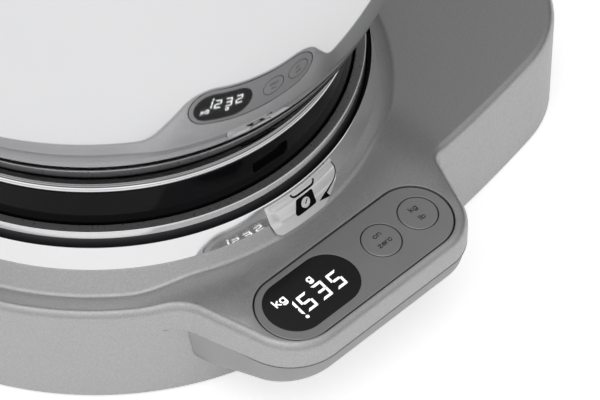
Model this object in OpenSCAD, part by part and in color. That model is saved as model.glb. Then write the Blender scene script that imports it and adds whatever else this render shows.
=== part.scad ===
// Kitchen scale: a round weighing platform in a metallic housing, a console with a
// display and two push buttons on its front, and a steel mixing bowl that lifts off.
// The origin lies on the table, on the platform's axis. +Z is up, the console faces -Y.

/* [Body] */
// Width of the flat deck between the collar and the body's edge
deck_w = 9.3; // [8:0.1:14]
// Length of the body beyond the round end's radius, towards +X
tail = 45; // [38:1:70]
// Radius of the two long flanks
flank_r = 700; // [600:10:900]
// Radius of the two rear corners
rear_corner_r = 50; // [35:1:60]
// Height of the deck above the table
deck_h = 45; // [42:0.5:56]
// Wall of the moulded housing
wall = 2.5; // [2:0.1:3]
// Rounding of the deck's outer edge
edge_r = 2.5; // [1.5:0.1:4]
// Gap between the housing's lower edge and the table
table_gap = 1.0; // [0.6:0.1:2]

/* [Collar and trim ring] */
// Height of the raised collar above the deck
collar_rise = 7.7; // [6.5:0.1:11]
// How much wider the collar is at its foot than at its top
collar_flare = 5.7; // [4:0.1:7]
// Height of the sloped trim ring
ring_rise = 9.3; // [8:0.1:11]
// How much wider the trim ring is at its foot than at its top
ring_flare = 3.0; // [2.4:0.1:4]
// Sheet thickness of the trim ring
ring_t = 1.0; // [0.8:0.1:1.4]
// Angle that the index tab covers
tab_angle = 20; // [14:1:26]
// Direction of the index tab's middle, from +X
tab_dir = -88; // [-110:1:-70]

/* [Platform] */
// Outer radius of the weighing platform
platform_r = 100; // [92:1:110]
// Running gap between the platform and the trim ring
run_gap = 2.0; // [1.6:0.1:2.6]
// Height of the platform's rim above the trim ring
platform_rise = 5.3; // [4:0.1:7]
// Depth of the round seat that the bowl's foot stands in
seat_depth = 6.3; // [5:0.1:8]
// Wall of the platform's trim ring
ring_wall = 1.1; // [0.8:0.1:1.6]
// Thickness of the platform ring's flange
ring_flange = 1.0; // [0.8:0.1:1.4]
// Width of the platform's rim around the seat
rim_w = 3.9; // [3.4:0.1:6]
// Thickness of the platform's floor
floor_t = 2.4; // [2:0.1:3.2]

/* [Bowl] */
// Height of the bowl's foot above the platform's rim
foot_rise = 16.1; // [12:0.1:22]
// Height of the bowl above its foot
bowl_h = 150; // [120:1:170]
// Outward lean of the bowl's wall just above its foot, in degrees
bowl_lean = 28.7; // [22:0.1:32]
// Height at which the bowl's wall stands upright
bowl_belly_h = 125; // [110:1:150]
// Sheet thickness of the bowl
bowl_t = 1.0; // [0.8:0.1:1.4]
// Radius of the rolled rim
rim_roll_r = 2.6; // [2:0.1:3.5]
// Number of lock pockets around the bowl's foot
pocket_count = 4; // [3:1:6]

/* [Console] */
// Reach of the console beyond the round body
console_reach = 34.5; // [33:0.5:42]
// Width of the console at its front, across its rounded corners
console_w = 96; // [92:1:110]
// Radius of the console's front corners
console_corner_r = 20; // [14:1:24]
// Angle by which the console's sides spread towards the body
console_splay = 21; // [12:1:26]
// Radius of the hollow curve between the round end and the console
fillet_left_r = 18; // [12:1:24]
// Radius of the hollow curve between the flank and the console
fillet_right_r = 8; // [6:1:12]
// Fall of the console's top towards its front, in degrees
console_tilt = 5.5; // [2:0.5:7]
// Height of the console's top above the deck where it meets the collar
console_rise = 3.0; // [1:0.1:5]
// Height of the console's coated band, from the deck down to the seam
seam_drop = 10.0; // [9:0.1:11.5]
// Height of the cover's underside at the body
cover_root_h = 14; // [10:0.5:18]
// Height of the cover's underside at the front
cover_front_h = 23; // [20:0.5:24]
// How much less the cover's sides spread than the console's, in degrees
cover_tuck = 4; // [0:1:6]
// Wall of the console's cover
cover_wall = 2.0; // [1.6:0.1:2.4]
// Rounding of the cover's lower edge
cover_edge_r = 6; // [4:0.5:7]

/* [Panel] */
// Length of the panel's groove
panel_l = 89; // [84:0.5:92]
// Width of the panel's groove
panel_w = 29.2; // [27:0.1:31]
// Distance from the groove to the console's front
panel_margin = 6.6; // [5.5:0.1:8]
// Width of the black groove around the panel
groove_w = 1.0; // [0.8:0.1:1.4]
// Depth of the panel's face below the console's top
panel_sink = 0.4; // [0.2:0.1:0.6]
// Thickness of the panel
panel_t = 1.8; // [1.5:0.1:2.2]
// Length of the display window
window_l = 40.8; // [36:0.2:42]
// Width of the display window
window_w = 23.6; // [21:0.2:24]
// Diameter of the two buttons
button_d = 15; // [12:0.5:16]
// Spacing between the two buttons
button_pitch = 19.2; // [18.5:0.1:20]
// Distance from the outer button's centre to the groove's end
button_end = 10.5; // [9.8:0.1:12]
// Travel of a button
button_travel = 0.6; // [0.3:0.05:0.8]

/* [Weighing] */
// Length of the load cell's bar
cell_l = 80; // [70:1:90]
// Width and height of the load cell's bar
cell_w = 12.8; // [12:0.1:15]
// Spacing between the two screws at each end of the bar
cell_pitch = 15; // [12:0.5:16]
// Radius of the load cell's screws
cell_screw_r = 2.0; // [1.8:0.1:2.2]
// Gap that the bar's free end closes at full load
cell_gap = 0.5; // [0.4:0.05:0.9]
// Thickness of the spacers on the bar
spacer_t = 3; // [2.5:0.1:4]
// Radius of the bracket's hub
hub_r = 22; // [18:0.5:26]
// Number of arms on the bracket
arm_count = 6; // [4:1:8]
// Thickness of an arm of the bracket
arm_t = 5; // [4:0.5:7]

/* [Base] */
// Height of the base plate's underside above the table
plate_h = 1.6; // [1.4:0.1:2.4]
// Thickness of the base plate
plate_t = 2.4; // [2:0.1:3]
// Radius of a rubber foot
foot_pad_r = 8; // [6:0.5:10]
// Radius of the housing's screw posts
post_r = 4; // [3.5:0.1:5]
// Radius of the housing's screws
screw_r = 1.5; // [1.3:0.1:1.7]
// Radius of one battery cell
cell_battery_r = 7.2; // [7:0.1:7.3]
// Length of one battery cell
cell_battery_l = 50.3; // [49:0.1:50.5]
// Number of battery cells, side by side
battery_count = 4; // [2:1:4]
// Travel of the battery door
door_travel = 10; // [6:0.5:11]
// Thickness of the battery door
door_t = 2.0; // [1.6:0.1:2.2]
// Thickness of a circuit board
board_t = 1.6; // [1:0.1:1.6]

/* [Hidden] */

// Clearances
fit = 0.3;
slip = 0.1;
button_gap = 0.35;

// Radii from the platform outwards
ring_top_r = platform_r + run_gap;
ring_slope = sqrt(ring_flare ^ 2 + ring_rise ^ 2);
ring_n = [ring_rise / ring_slope, ring_flare / ring_slope];
ring_leg = 12;
ring_foot_r = ring_top_r + ring_flare;
collar_foot_r = ring_foot_r + collar_flare;
body_r = collar_foot_r + deck_w;
collar_bore_r = ring_top_r + ring_t + fit;
seat_r = platform_r - rim_w;
foot_r = seat_r - 0.5;

// Heights from the table upwards
plate_top = plate_h + plate_t;
collar_top = deck_h + collar_rise;
ring_top = collar_top + ring_rise;
platform_top = ring_top + platform_rise;
seat_top = platform_top - seat_depth;
floor_bottom = seat_top - floor_t;
foot_top = platform_top + foot_rise;
cell_pad = 2.5;
cell_bottom = plate_top + cell_pad + spacer_t;
cell_top = cell_bottom + cell_w;
bracket_bottom = cell_top + cell_gap + spacer_t;

// Plan of the body
flank_y = flank_r - body_r;
body_back = body_r + tail;
rear_cx = body_back - rear_corner_r;
rear_cy = sqrt((flank_r - rear_corner_r) ^ 2 - rear_cx ^ 2) - flank_y;
flank_a = asin(rear_cx / (flank_r - rear_corner_r));

// Plan of the console
console_front = body_r + console_reach;
tilt_y = body_r - 8;
root_y = body_r - 25;
corner_cx = console_w / 2 - console_corner_r;
corner_cy = console_front - console_corner_r;
blend = 0.2;
cover_splay = console_splay - cover_tuck;
seam_h = deck_h - seam_drop;
seam_edge = 0.4;
ramp_x = console_w / 2 + 8;
left_root_x = console_side(-1, 0)[0][0];
right_root_x = console_side(1, 0)[0][0];

// Panel on the console's sloping top
panel_cy = console_front - panel_margin - panel_w / 2;
panel_cz = slope_h(-panel_cy);
panel_r = panel_w / 2 - groove_w;
panel_half = panel_l / 2 - panel_w / 2;
window_half = (window_l - window_w) / 2;
window_x = -panel_half + window_half;
unit_x = panel_l / 2 - button_end;
zero_x = unit_x - button_pitch;
panel_bottom = -panel_sink - panel_t;
flange_t = 1.0;
flange_bottom = panel_bottom - flange_t;
plunger_top = flange_bottom - button_travel - slip;
plunger_h = 0.7;
switch_h = 3.4;
board_top = plunger_top - plunger_h - switch_h;
ledge_r = panel_r - 0.7;
pad_r = panel_w / 2 + 2.5;
pad_bottom = panel_bottom - 2;
board_l = 84;
board_w = 20;
ear_x = 20;
ear_y = panel_w / 2 + 1.4;
ear_r = 2.2;
small_screw_r = 1.0;

// Screw posts between the deck and the base plate
post_ring_r = (collar_bore_r + body_r - wall) / 2;
post_places = [
    [post_ring_r * cos(150), post_ring_r * sin(150)],
    [post_ring_r * cos(210), post_ring_r * sin(210)],
    [post_ring_r * cos(70), post_ring_r * sin(70)],
    [post_ring_r * cos(-68), post_ring_r * sin(-68)],
    [rear_cx + 24, rear_cy + 10],
    [rear_cx + 24, -rear_cy - 10]
];
foot_ring_r = body_r - wall - foot_pad_r - 6;
foot_places = [
    [foot_ring_r * cos(132), foot_ring_r * sin(132)],
    [foot_ring_r * cos(228), foot_ring_r * sin(228)],
    [foot_ring_r * cos(-90), foot_ring_r * sin(-90)],
    [rear_cx + 8, rear_cy + 20],
    [rear_cx + 8, -rear_cy - 20]
];
foot_recess = 1.0;

// Battery bay behind the platform
bay_l = cell_battery_l + 4;
bay_w = battery_count * (2 * cell_battery_r + 0.6) + 2;
bay_x = body_back - wall - 14 - bay_l - door_travel;
bay_h = 2 * cell_battery_r + 1.2;
bay_wall = 1.6;
door_lip = 2;
door_l = bay_l + 2 * door_lip;
door_w = bay_w + 2 * door_lip;
door_gap = 0.3;
tongue = 1.2;
bay_floor = plate_h + door_t + door_gap;

// Main board beside the load cell
main_y = -0.6 * body_r;
plug_x = -21;
main_l = 70;
main_w = 34;
standoff_h = 6;
main_z = plate_top + standoff_h;
main_holes = [[-30, -12], [30, -12], [-30, 12], [30, 12]];

// Console cover's screws
cover_screw_x = console_w / 2 - 2;
cover_screw_y = body_r + 4;
cover_head_drop = 6;
screw_grip = 8;

// Bowl
bowl_start = foot_top + 1.6;
bowl_r0 = foot_r - 0.9;
bowl_floor = seat_top + 5.5;
bowl_top = foot_top + bowl_h;
belly = tan(bowl_lean);
bend_r = (bowl_start - bowl_floor) / (1 - sin(bowl_lean));
bend_x = bowl_r0 - bend_r * cos(bowl_lean);

// ---------- Profiles and skins ----------

// Points of an arc about c
function arc(c, r, a0, a1, n) = [
    for (i = [0:n])
        let (a = a0 + (a1 - a0) * i / n)
            [c[0] + r * cos(a), c[1] + r * sin(a)]
];

// All points but the first
function rest(v) = [for (i = [1:len(v) - 1]) v[i]];

// The points in the other order
function turned(v) = [for (i = [len(v) - 1:-1:0]) v[i]];

// Plan of the body, set in by d
function body_outline(d) = concat(
    arc([0, 0], body_r - d, 90, 270, 36),
    rest(arc([0, flank_y], flank_r - d, 270, 270 + flank_a, 5)),
    rest(arc([rear_cx, -rear_cy], rear_corner_r - d, flank_a - 90, 0, 8)),
    arc([rear_cx, rear_cy], rear_corner_r - d, 0, 90 - flank_a, 8),
    rest(turned(rest(turned(arc([0, -flank_y], flank_r - d, 90 - flank_a, 90, 5)))))
);

// Centre of a curve of radius r that touches the line p + t w on its outer side n and
// the circle of radius big about c
function touch_centre(p, n, w, r, c, big) =
    let (q = p + r * n - c)
        let (b = q * w)
            c + q + (-b - sqrt(b * b - q * q + (big + r) ^ 2)) * w;

// One side of the console's plan, from the body to the front, set in by d.
// side is -1 at the round end and 1 at the flank.
function console_side(side, d) =
    let (
        n = [side * cos(console_splay), -sin(console_splay)],
        w = [side * sin(console_splay), cos(console_splay)],
        corner = [side * corner_cx, -corner_cy],
        r = side < 0 ? fillet_left_r : fillet_right_r,
        c = side < 0 ? [0, 0] : [0, flank_y],
        big = (side < 0 ? body_r : flank_r) - blend,
        f = touch_centre(corner + console_corner_r * n, n, w, r, c, big),
        a0 = atan2(c[1] - f[1], c[0] - f[0]),
        a1 = side < 0 ? console_splay : 180 - console_splay,
        hollow = arc(f, r + d, a0, a1, 6),
        out0 = side < 0 ? 180 + console_splay : -console_splay,
        out1 = side < 0 ? 270 : -90
    )
        concat(
            [[hollow[0][0], -root_y]],
            hollow,
            arc(corner, console_corner_r - d, out0, out1, 7)
        );

// Plan of the console, set in by d, from the round end's root to the flank's root
function console_outline(d) = concat(console_side(-1, d), turned(console_side(1, d)));

// One side of the cover's plan, straight from the body to its front corner, set in by d
function cover_side(side, d) =
    let (
        n = [side * cos(cover_splay), -sin(cover_splay)],
        w = [side * sin(cover_splay), cos(cover_splay)],
        corner = [side * corner_cx, -corner_cy],
        foot = corner + (console_corner_r - d) * n,
        out0 = side < 0 ? 180 + cover_splay : -cover_splay,
        out1 = side < 0 ? 270 : -90
    )
        concat(
            [foot - (root_y + foot[1]) / w[1] * w],
            arc(corner, console_corner_r - d, out0, out1, 7)
        );

// Plan of the cover, set in by d, from the round end's root to the flank's root
function cover_outline(d) = concat(cover_side(-1, d), turned(cover_side(1, d)));

// Height of the console's flat slope at y
function slope_h(y) = deck_h + console_rise + tan(console_tilt) * (y + tilt_y);

// Share of the console's slope at x: whole over the console, none at its roots
function slope_share(x) =
    let (k = (abs(x) - ramp_x) / ((x < 0 ? -left_root_x : right_root_x) - ramp_x))
        k <= 0 ? 1 : k >= 1 ? 0 : 1 - k * k * (3 - 2 * k);

// Height of the console's top over the plan
function top_h(p) = deck_h + slope_share(p[0]) * (slope_h(p[1]) - deck_h);

// Height of the cover's underside over the plan
function under_h(p) =
    let (k = (-p[1] - tilt_y) / (console_front - tilt_y))
        cover_root_h + (cover_front_h - cover_root_h) * min(1, max(0, k));

// Solid skinned over rings of points of equal count, lowest ring first
module skin(rings, strips = false) {
    n = len(rings[0]);
    last = (len(rings) - 1) * n;
    half = n / 2;
    sides = [
        for (k = [0:len(rings) - 2])
            for (i = [0:n - 1])
                for (t = [0, 1])
                    let (j = (i + 1) % n)
                        t == 0
                            ? [k * n + i, (k + 1) * n + i, (k + 1) * n + j]
                            : [k * n + i, (k + 1) * n + j, k * n + j]
    ];
    flat_caps = [
        [for (i = [0:n - 1]) i],
        [for (i = [n - 1:-1:0]) last + i]
    ];
    strip_caps = [
        for (i = [0:half - 2])
            for (f = [
                [i, n - 2 - i, n - 1 - i],
                [i, i + 1, n - 2 - i],
                [last + i, last + n - 1 - i, last + n - 2 - i],
                [last + i, last + n - 2 - i, last + i + 1]
            ])
                f
    ];
    polyhedron(
        points = [for (ring = rings) for (p = ring) p],
        faces = concat(sides, strips ? strip_caps : flat_caps),
        convexity = 6
    );
}

// Ring of the body's plan at height z, set in by d
function body_ring(d, z) = [for (p = body_outline(d)) [p[0], p[1], z]];

// Ring of the console's plan, set in by d and drop below the console's top
function console_ring(d, drop) = [
    for (p = console_outline(d)) [p[0], p[1], top_h(p) - drop]
];

// Ring of the cover, set in by d, at the share k of the way from its underside to the
// seam and rise above that
function cover_ring(d, k, rise) = [
    for (p = cover_outline(d))
        [p[0], p[1], under_h(p) + rise + (seam_h - slip - under_h(p)) * k]
];

// Slot shape with straight half length half and end radius r
module pill(half, r) {
    translate([-half, 0])
        circle(r, $fn = 64);
    translate([half, 0])
        circle(r, $fn = 64);
    translate([-half, -r])
        square([2 * half, 2 * r]);
}

// Rectangle w by h about the origin, its corners rounded by r
module round_rect(w, h, r) {
    square([w - 2 * r, h], center = true);
    square([w, h - 2 * r], center = true);
    for (x = [r - w / 2, w / 2 - r])
        for (y = [r - h / 2, h / 2 - r])
            translate([x, y])
                circle(r, $fn = 32);
}

// Upright pill from local height z0 to z1
module pill_block(half, r, z0, z1) {
    translate([0, 0, z0])
        linear_extrude(z1 - z0)
            pill(half, r);
}

// Places its children on the console's sloping top, about the panel's middle
module on_panel() {
    translate([0, -panel_cy, panel_cz])
        rotate([console_tilt, 0, 0])
            children();
}

// Upright rod at p from z0 to z1
module rod(p, r, z0, z1) {
    translate([p[0], p[1], z0])
        cylinder(r = r, h = z1 - z0, $fn = 48);
}

// Pan-head screw, its head's seat at z and its tip at tip, pointing up
module screw_up(p, r, z, tip, head_r, head_h) {
    rod(p, r, z, tip);
    rod(p, head_r, z - head_h, z);
}

// ---------- Housing ----------

// Outer shape of the housing
module housing_outer() {
    fillet = [for (t = [0, 30, 60, 90]) [edge_r * (1 - cos(t)), edge_r * (1 - sin(t))]];
    skin(concat(
        [body_ring(0, table_gap)],
        [for (f = fillet) body_ring(f[0], deck_h - f[1])]
    ));
    skin(
        concat(
            [
                [for (p = console_outline(seam_edge)) [p[0], p[1], seam_h]],
                [for (p = console_outline(0)) [p[0], p[1], seam_h + seam_edge]]
            ],
            [for (f = fillet) console_ring(f[0], f[1])]
        ),
        strips = true
    );
    rotate_extrude($fn = 180)
        polygon([
            [collar_bore_r - 1, deck_h - wall],
            [collar_foot_r + 1.6, deck_h - wall],
            [collar_foot_r + 1.6, deck_h],
            [collar_foot_r + 0.6, deck_h + 0.25],
            [collar_foot_r - 0.2, deck_h + 1.2],
            [ring_foot_r + 0.5, collar_top - 0.6],
            [ring_foot_r - 0.1, collar_top],
            [collar_bore_r - 1, collar_top]
        ]);
}

// Hollow of the body and of the console
module housing_hollow() {
    skin([body_ring(wall, 0), body_ring(wall, deck_h - wall)]);
    skin(
        [
            [for (p = cover_outline(wall)) [p[0], p[1], seam_h - 1]],
            [for (p = cover_outline(wall)) [p[0], p[1], top_h(p) - wall]]
        ],
        strips = true
    );
}

module housing() {
    color([0.66, 0.67, 0.68])
        difference() {
            union() {
                difference() {
                    housing_outer();
                    housing_hollow();
                }
                on_panel()
                    pill_block(panel_half, pad_r, pad_bottom, -1);
                for (x = [-ear_x, ear_x])
                    for (y = [-ear_y, ear_y])
                        on_panel()
                            rod([x, y], 2.4, board_top, -1);
                for (p = post_places)
                    rod(p, post_r, plate_top, (p[1] < -root_y ? top_h(p) : deck_h) - 1);
                for (x = [-cover_screw_x, cover_screw_x])
                    rod(
                        [x, -cover_screw_y], 3.2,
                        seam_h + slip, top_h([x, -cover_screw_y]) - 1
                    );
            }
            rod([0, 0], collar_bore_r, deck_h - 10, collar_top + 1);
            on_panel()
                pill_block(panel_half, panel_w / 2, panel_bottom, 3);
            on_panel()
                pill_block(panel_half, ledge_r, pad_bottom - 1, 3);
            for (x = [-ear_x, ear_x])
                for (y = [-ear_y, ear_y])
                    on_panel()
                        rod([x, y], small_screw_r + slip, board_top - 1, board_top + 4);
            for (p = post_places)
                rod(p, screw_r + slip, plate_top - 1, plate_top + screw_grip + 1);
            for (x = [-cover_screw_x, cover_screw_x])
                rod([x, -cover_screw_y], screw_r + slip, seam_h - 1, seam_h + 5);
            translate([-cover_screw_x + 4, -body_r - 3, seam_h - 9])
                cube([2 * cover_screw_x - 8, 12, 10]);
        }
}

// Lower cover of the console
module console_cover() {
    bend = [for (t = [90, 60, 30, 0]) [cover_edge_r * (1 - cos(t)), cover_edge_r * (1 - sin(t))]];
    draft = 1.4;
    color([0.60, 0.61, 0.62])
        difference() {
            union() {
                difference() {
                    skin(
                        concat(
                            [for (b = bend) cover_ring(b[0] + draft, 0, b[1])],
                            [cover_ring(0, 1, -seam_edge), cover_ring(seam_edge, 1, 0)]
                        ),
                        strips = true
                    );
                    skin(
                        [
                            cover_ring(cover_edge_r / 2 + draft + cover_wall, 0, cover_wall),
                            cover_ring(draft + cover_wall, 0, cover_wall + cover_edge_r / 2),
                            cover_ring(cover_wall, 1, 1)
                        ],
                        strips = true
                    );
                }
                for (x = [-cover_screw_x, cover_screw_x])
                    rod(
                        [x, -cover_screw_y], 3.6,
                        under_h([x, -cover_screw_y]) + 1, seam_h - slip
                    );
            }
            translate([0, 0, -1])
                linear_extrude(deck_h)
                    polygon(body_outline(-fit));
            for (x = [-cover_screw_x, cover_screw_x]) {
                rod([x, -cover_screw_y], screw_r + slip, 0, seam_h + 1);
                rod([x, -cover_screw_y], 2.8, 0, seam_h - cover_head_drop);
            }
        }
}

module cover_screws() {
    color([0.55, 0.55, 0.57])
        for (x = [-cover_screw_x, cover_screw_x])
            screw_up([x, -cover_screw_y], screw_r, seam_h - cover_head_drop, seam_h + 4, 2.6, 1.8);
}

// ---------- Base ----------

// Box of the battery bay, grown by g in plan, from z0 to z1
module bay_box(g, z0, z1) {
    translate([bay_x - g, -bay_w / 2 - g, z0])
        cube([bay_l + 2 * g, bay_w + 2 * g, z1 - z0]);
}

module base_plate() {
    rim_t = 1.6;
    rim_h = 5;
    bed_t = 1.6;
    color([0.16, 0.16, 0.17])
        difference() {
            union() {
                translate([0, 0, plate_h])
                    linear_extrude(plate_t)
                        polygon(body_outline(wall + fit));
                translate([0, 0, plate_top - 0.5])
                    linear_extrude(rim_h + 0.5)
                        difference() {
                            polygon(body_outline(wall + fit));
                            polygon(body_outline(wall + fit + rim_t));
                        }
                translate([-cell_l / 2 - 2, -cell_w / 2 - 2, plate_top - 0.5])
                    cube([cell_pitch + 14, cell_w + 4, cell_pad + 0.5]);
                for (h = main_holes)
                    rod([h[0], h[1] + main_y], 3, plate_top - 0.5, main_z);
                translate([bay_x - door_lip - 2, -door_w / 2 - 3.5, plate_top - 0.5])
                    cube([
                        door_l + door_travel + 6, door_w + 7,
                        bay_floor + bed_t - plate_top + 0.5
                    ]);
                bay_box(bay_wall, plate_top - 0.5, bay_floor + bay_h + bay_wall);
                for (y = [-1, 1])
                    translate([-body_r + 22, y * 34 - 1, plate_top - 0.5])
                        cube([body_r + bay_x - door_lip - 24, 2, 3.5]);
            }
            bay_box(0, plate_h - 1, bay_floor + bay_h);
            translate([bay_x - door_lip - slip, -door_w / 2 - slip, plate_h - 1])
                cube([door_l + door_travel + 2 * slip + 0.4, door_w + 2 * slip, bay_floor - plate_h + 1]);
            translate([bay_x - door_lip - slip, -door_w / 2 - tongue - slip, plate_h + 0.8 - slip])
                cube([
                    door_l + door_travel + 2 * slip + 0.4,
                    door_w + 2 * (tongue + slip),
                    bay_floor - plate_h - 0.8 + slip
                ]);
            for (p = foot_places)
                rod(p, foot_pad_r + slip, plate_h - 1, plate_h + foot_recess);
            for (p = post_places) {
                rod(p, screw_r + slip, 0, plate_top + 1);
                rod(p, 2.8, 0, plate_h + 1.2);
            }
            for (h = main_holes)
                rod([h[0], h[1] + main_y], small_screw_r + slip, main_z - 4, main_z + 1);
            for (x = cell_screw_x(-1)) {
                rod([x, 0], cell_screw_r + slip, 0, cell_bottom);
                rod([x, 0], 3.8, 0, plate_h + 2.5);
            }
            rod([cell_stop_x(), 0], 1.5 + slip, 0, plate_top + 1);
        }
}

// Places of the two screws at one end of the load cell
function cell_screw_x(side) = [
    side * (cell_l / 2 - 5), side * (cell_l / 2 - 5 - cell_pitch)
];

// Place of the overload stop under the load cell's free end
function cell_stop_x() = cell_l / 2 - 5 - cell_pitch / 2;

module housing_screws() {
    color([0.55, 0.55, 0.57])
        for (p = post_places)
            screw_up(p, screw_r, plate_h + 1.2, plate_top + screw_grip, 2.6, 1.1);
}

module feet() {
    color([0.09, 0.09, 0.09])
        for (p = foot_places)
            translate([p[0], p[1], 0])
                rotate_extrude($fn = 48)
                    polygon([
                        [0, 0], [foot_pad_r - 1, 0], [foot_pad_r - 0.2, 0.6],
                        [foot_pad_r, plate_h + foot_recess], [0, plate_h + foot_recess]
                    ]);
}

module battery_door() {
    ridge_pitch = 2.4;
    color([0.16, 0.16, 0.17])
        difference() {
            translate([bay_x - door_lip, 0, plate_h]) {
                translate([0, -door_w / 2, 0])
                    cube([door_l, door_w, door_t]);
                translate([0, -door_w / 2 - tongue + slip, 0.8])
                    cube([door_l, door_w + 2 * (tongue - slip), door_t - 0.8]);
            }
            for (i = [0:5])
                translate([bay_x + 6 + i * ridge_pitch, -9, plate_h - 1])
                    cube([1, 18, 1.6]);
        }
}

// Middle of battery cell i across the bay
function battery_y(i) = (i - (battery_count - 1) / 2) * (2 * cell_battery_r + 0.6);

// Height of the battery cells' axes
function battery_z() = bay_floor + slip + cell_battery_r;

module batteries() {
    color([0.20, 0.36, 0.52])
        for (i = [0:battery_count - 1])
            translate([bay_x + 2, battery_y(i), battery_z()])
                rotate([0, 90, 0]) {
                    flip = i % 2 == 0 ? 0 : 1;
                    translate([0, 0, flip * 1.2])
                        cylinder(r = cell_battery_r, h = cell_battery_l - 1.2, $fn = 48);
                    translate([0, 0, flip == 1 ? 0 : cell_battery_l - 1.2])
                        cylinder(r = 2.7, h = 1.2, $fn = 32);
                }
}

module battery_contacts() {
    leaf_t = 0.4;
    color([0.78, 0.77, 0.72])
        for (i = [0:battery_count - 1])
            for (end = [0, 1])
                translate([bay_x + end * (bay_l - leaf_t), battery_y(i), battery_z()]) {
                    translate([0, -5, -5])
                        cube([leaf_t, 10, 10]);
                    rotate([0, 90, 0])
                        translate([0, 0, end == 0 ? 0 : -1.5])
                            cylinder(r1 = end == 0 ? 3.2 : 2.2, r2 = end == 0 ? 2.2 : 3.2, h = 1.9, $fn = 32);
                }
}

// ---------- Trim ring ----------

// Radius of the trim ring's face at the share s of its height
function ring_r(s) = ring_foot_r - ring_flare * s;

// Height of the trim ring's face at the share s
function ring_z(s) = collar_top + ring_rise * s;

// Point of the trim ring's face at the share s, with lift over it
function ring_face(s, lift = 0) = [ring_r(s) + lift * ring_n[0], ring_z(s) + lift * ring_n[1]];

module trim_ring() {
    inner_r = ring_top_r + ring_t;
    joint = max(0.1, (ring_foot_r - ring_n[0] * ring_t - inner_r) / ring_flare);
    color([0.86, 0.87, 0.88])
        rotate_extrude($fn = 180)
            polygon([
                ring_face(0),
                ring_face(0.9),
                ring_face(0.96, -0.06),
                [ring_top_r + 0.15, ring_top],
                [ring_top_r, ring_top - 0.25],
                [ring_top_r, ring_top - ring_leg],
                [inner_r, ring_top - ring_leg],
                ring_face(joint, -ring_t),
                [ring_foot_r - 1.1 * ring_t, collar_top]
            ]);
}

// Block at the angle a round the axis, u to its left and right, from height z0 to z1
module tab_block(a, u0, u1, z0, z1) {
    rotate([0, 0, a])
        translate([ring_foot_r - 6, u0, z0])
            cube([14, u1 - u0, z1 - z0]);
}

module index_tab() {
    t = 0.9;
    lap = 0.06;
    top_share = 0.84;
    corner_r = 3.2;
    slant = 23;
    foot = [ring_foot_r, collar_top];
    lean = sqrt(collar_flare ^ 2 + collar_rise ^ 2);
    low_z = deck_h + 0.45 * collar_rise;
    low_r = ring_foot_r + 0.5 + (collar_flare - 0.7) * (collar_top - 0.6 - low_z) / (collar_rise - 1.8);
    low = [low_r + 0.35, low_z];
    left = tab_dir - tab_angle / 2;
    right = tab_dir + 0.2 * tab_angle;
    color([0.74, 0.75, 0.76])
        difference() {
            rotate([0, 0, left])
                rotate_extrude(angle = tab_angle, $fn = 180)
                    polygon([
                        ring_face(top_share, lap),
                        foot + [0.5, 0] + lap * ring_n,
                        low,
                        low + t / lean * [collar_rise, collar_flare],
                        foot + [0.7, 0] + t * ring_n,
                        ring_face(top_share, lap + t)
                    ]);
            difference() {
                tab_block(left, -1, corner_r, low_z - 1, low_z + corner_r);
                rotate([0, 0, left])
                    translate([ring_foot_r - 7, corner_r, low_z + corner_r])
                        rotate([0, 90, 0])
                            cylinder(r = corner_r, h = 16, $fn = 48);
            }
            rotate([0, 0, right])
                translate([ring_foot_r - 6, 0, low_z])
                    rotate([slant, 0, 0])
                        translate([0, -2, -20])
                            cube([14, 32, 20]);
        }
}

module gap_seal() {
    lip_r = platform_r + 0.6;
    leg_z = ring_top - ring_leg;
    color([0.05, 0.05, 0.05])
        rotate_extrude($fn = 180)
            polygon([
                [lip_r, leg_z - 1.6],
                [ring_top_r + ring_t, leg_z - 1.6],
                [ring_top_r + ring_t, leg_z],
                [ring_top_r - slip, leg_z],
                [ring_top_r - slip, ring_top - 3],
                [lip_r, ring_top - 3.6]
            ]);
}

// ---------- Panel and display ----------

module panel_gasket() {
    color([0.04, 0.04, 0.04])
        on_panel()
            difference() {
                pill_block(panel_half, panel_w / 2 - slip, panel_bottom, -panel_sink - 0.4);
                pill_block(panel_half, panel_r + 0.05, panel_bottom - 1, 1);
            }
}

module display_panel() {
    color([0.62, 0.63, 0.64])
        on_panel()
            difference() {
                pill_block(panel_half, panel_r - 0.05, panel_bottom, -panel_sink);
                translate([window_x, 0, 0])
                    pill_block(window_half, window_w / 2 + slip, panel_bottom - 1, 1);
                for (x = [zero_x, unit_x])
                    rod([x, 0], button_d / 2 + button_gap, panel_bottom - 1, 1);
            }
}

module display_window() {
    color([0.03, 0.03, 0.035])
        on_panel()
            translate([window_x, 0, 0]) {
                pill_block(window_half, window_w / 2, panel_bottom, -panel_sink);
                pill_block(window_half, window_w / 2 + 0.6, flange_bottom, panel_bottom);
            }
}

module lcd_module() {
    color([0.10, 0.11, 0.12])
        on_panel()
            translate([window_x, 0, board_top]) {
                lcd_h = flange_bottom - slip - board_top;
                translate([-18, -9.4, 0])
                    cube([36, 18.8, lcd_h - 1.2]);
                translate([-16.5, -8, 0])
                    cube([33, 16, lcd_h]);
            }
}

module display_board() {
    color([0.10, 0.30, 0.18])
        on_panel()
            difference() {
                translate([0, 0, board_top - board_t])
                    linear_extrude(board_t)
                        union() {
                            translate([-board_l / 2, -board_w / 2])
                                square([board_l, board_w]);
                            translate([-ear_x - ear_r, -ear_y])
                                square([2 * (ear_x + ear_r), 2 * ear_y]);
                            for (x = [-ear_x, ear_x])
                                for (y = [-ear_y, ear_y])
                                    translate([x, y])
                                        circle(ear_r, $fn = 48);
                        }
                for (x = [-ear_x, ear_x])
                    for (y = [-ear_y, ear_y])
                        rod([x, y], small_screw_r + slip, board_top - 3, board_top + 1);
            }
}

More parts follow.
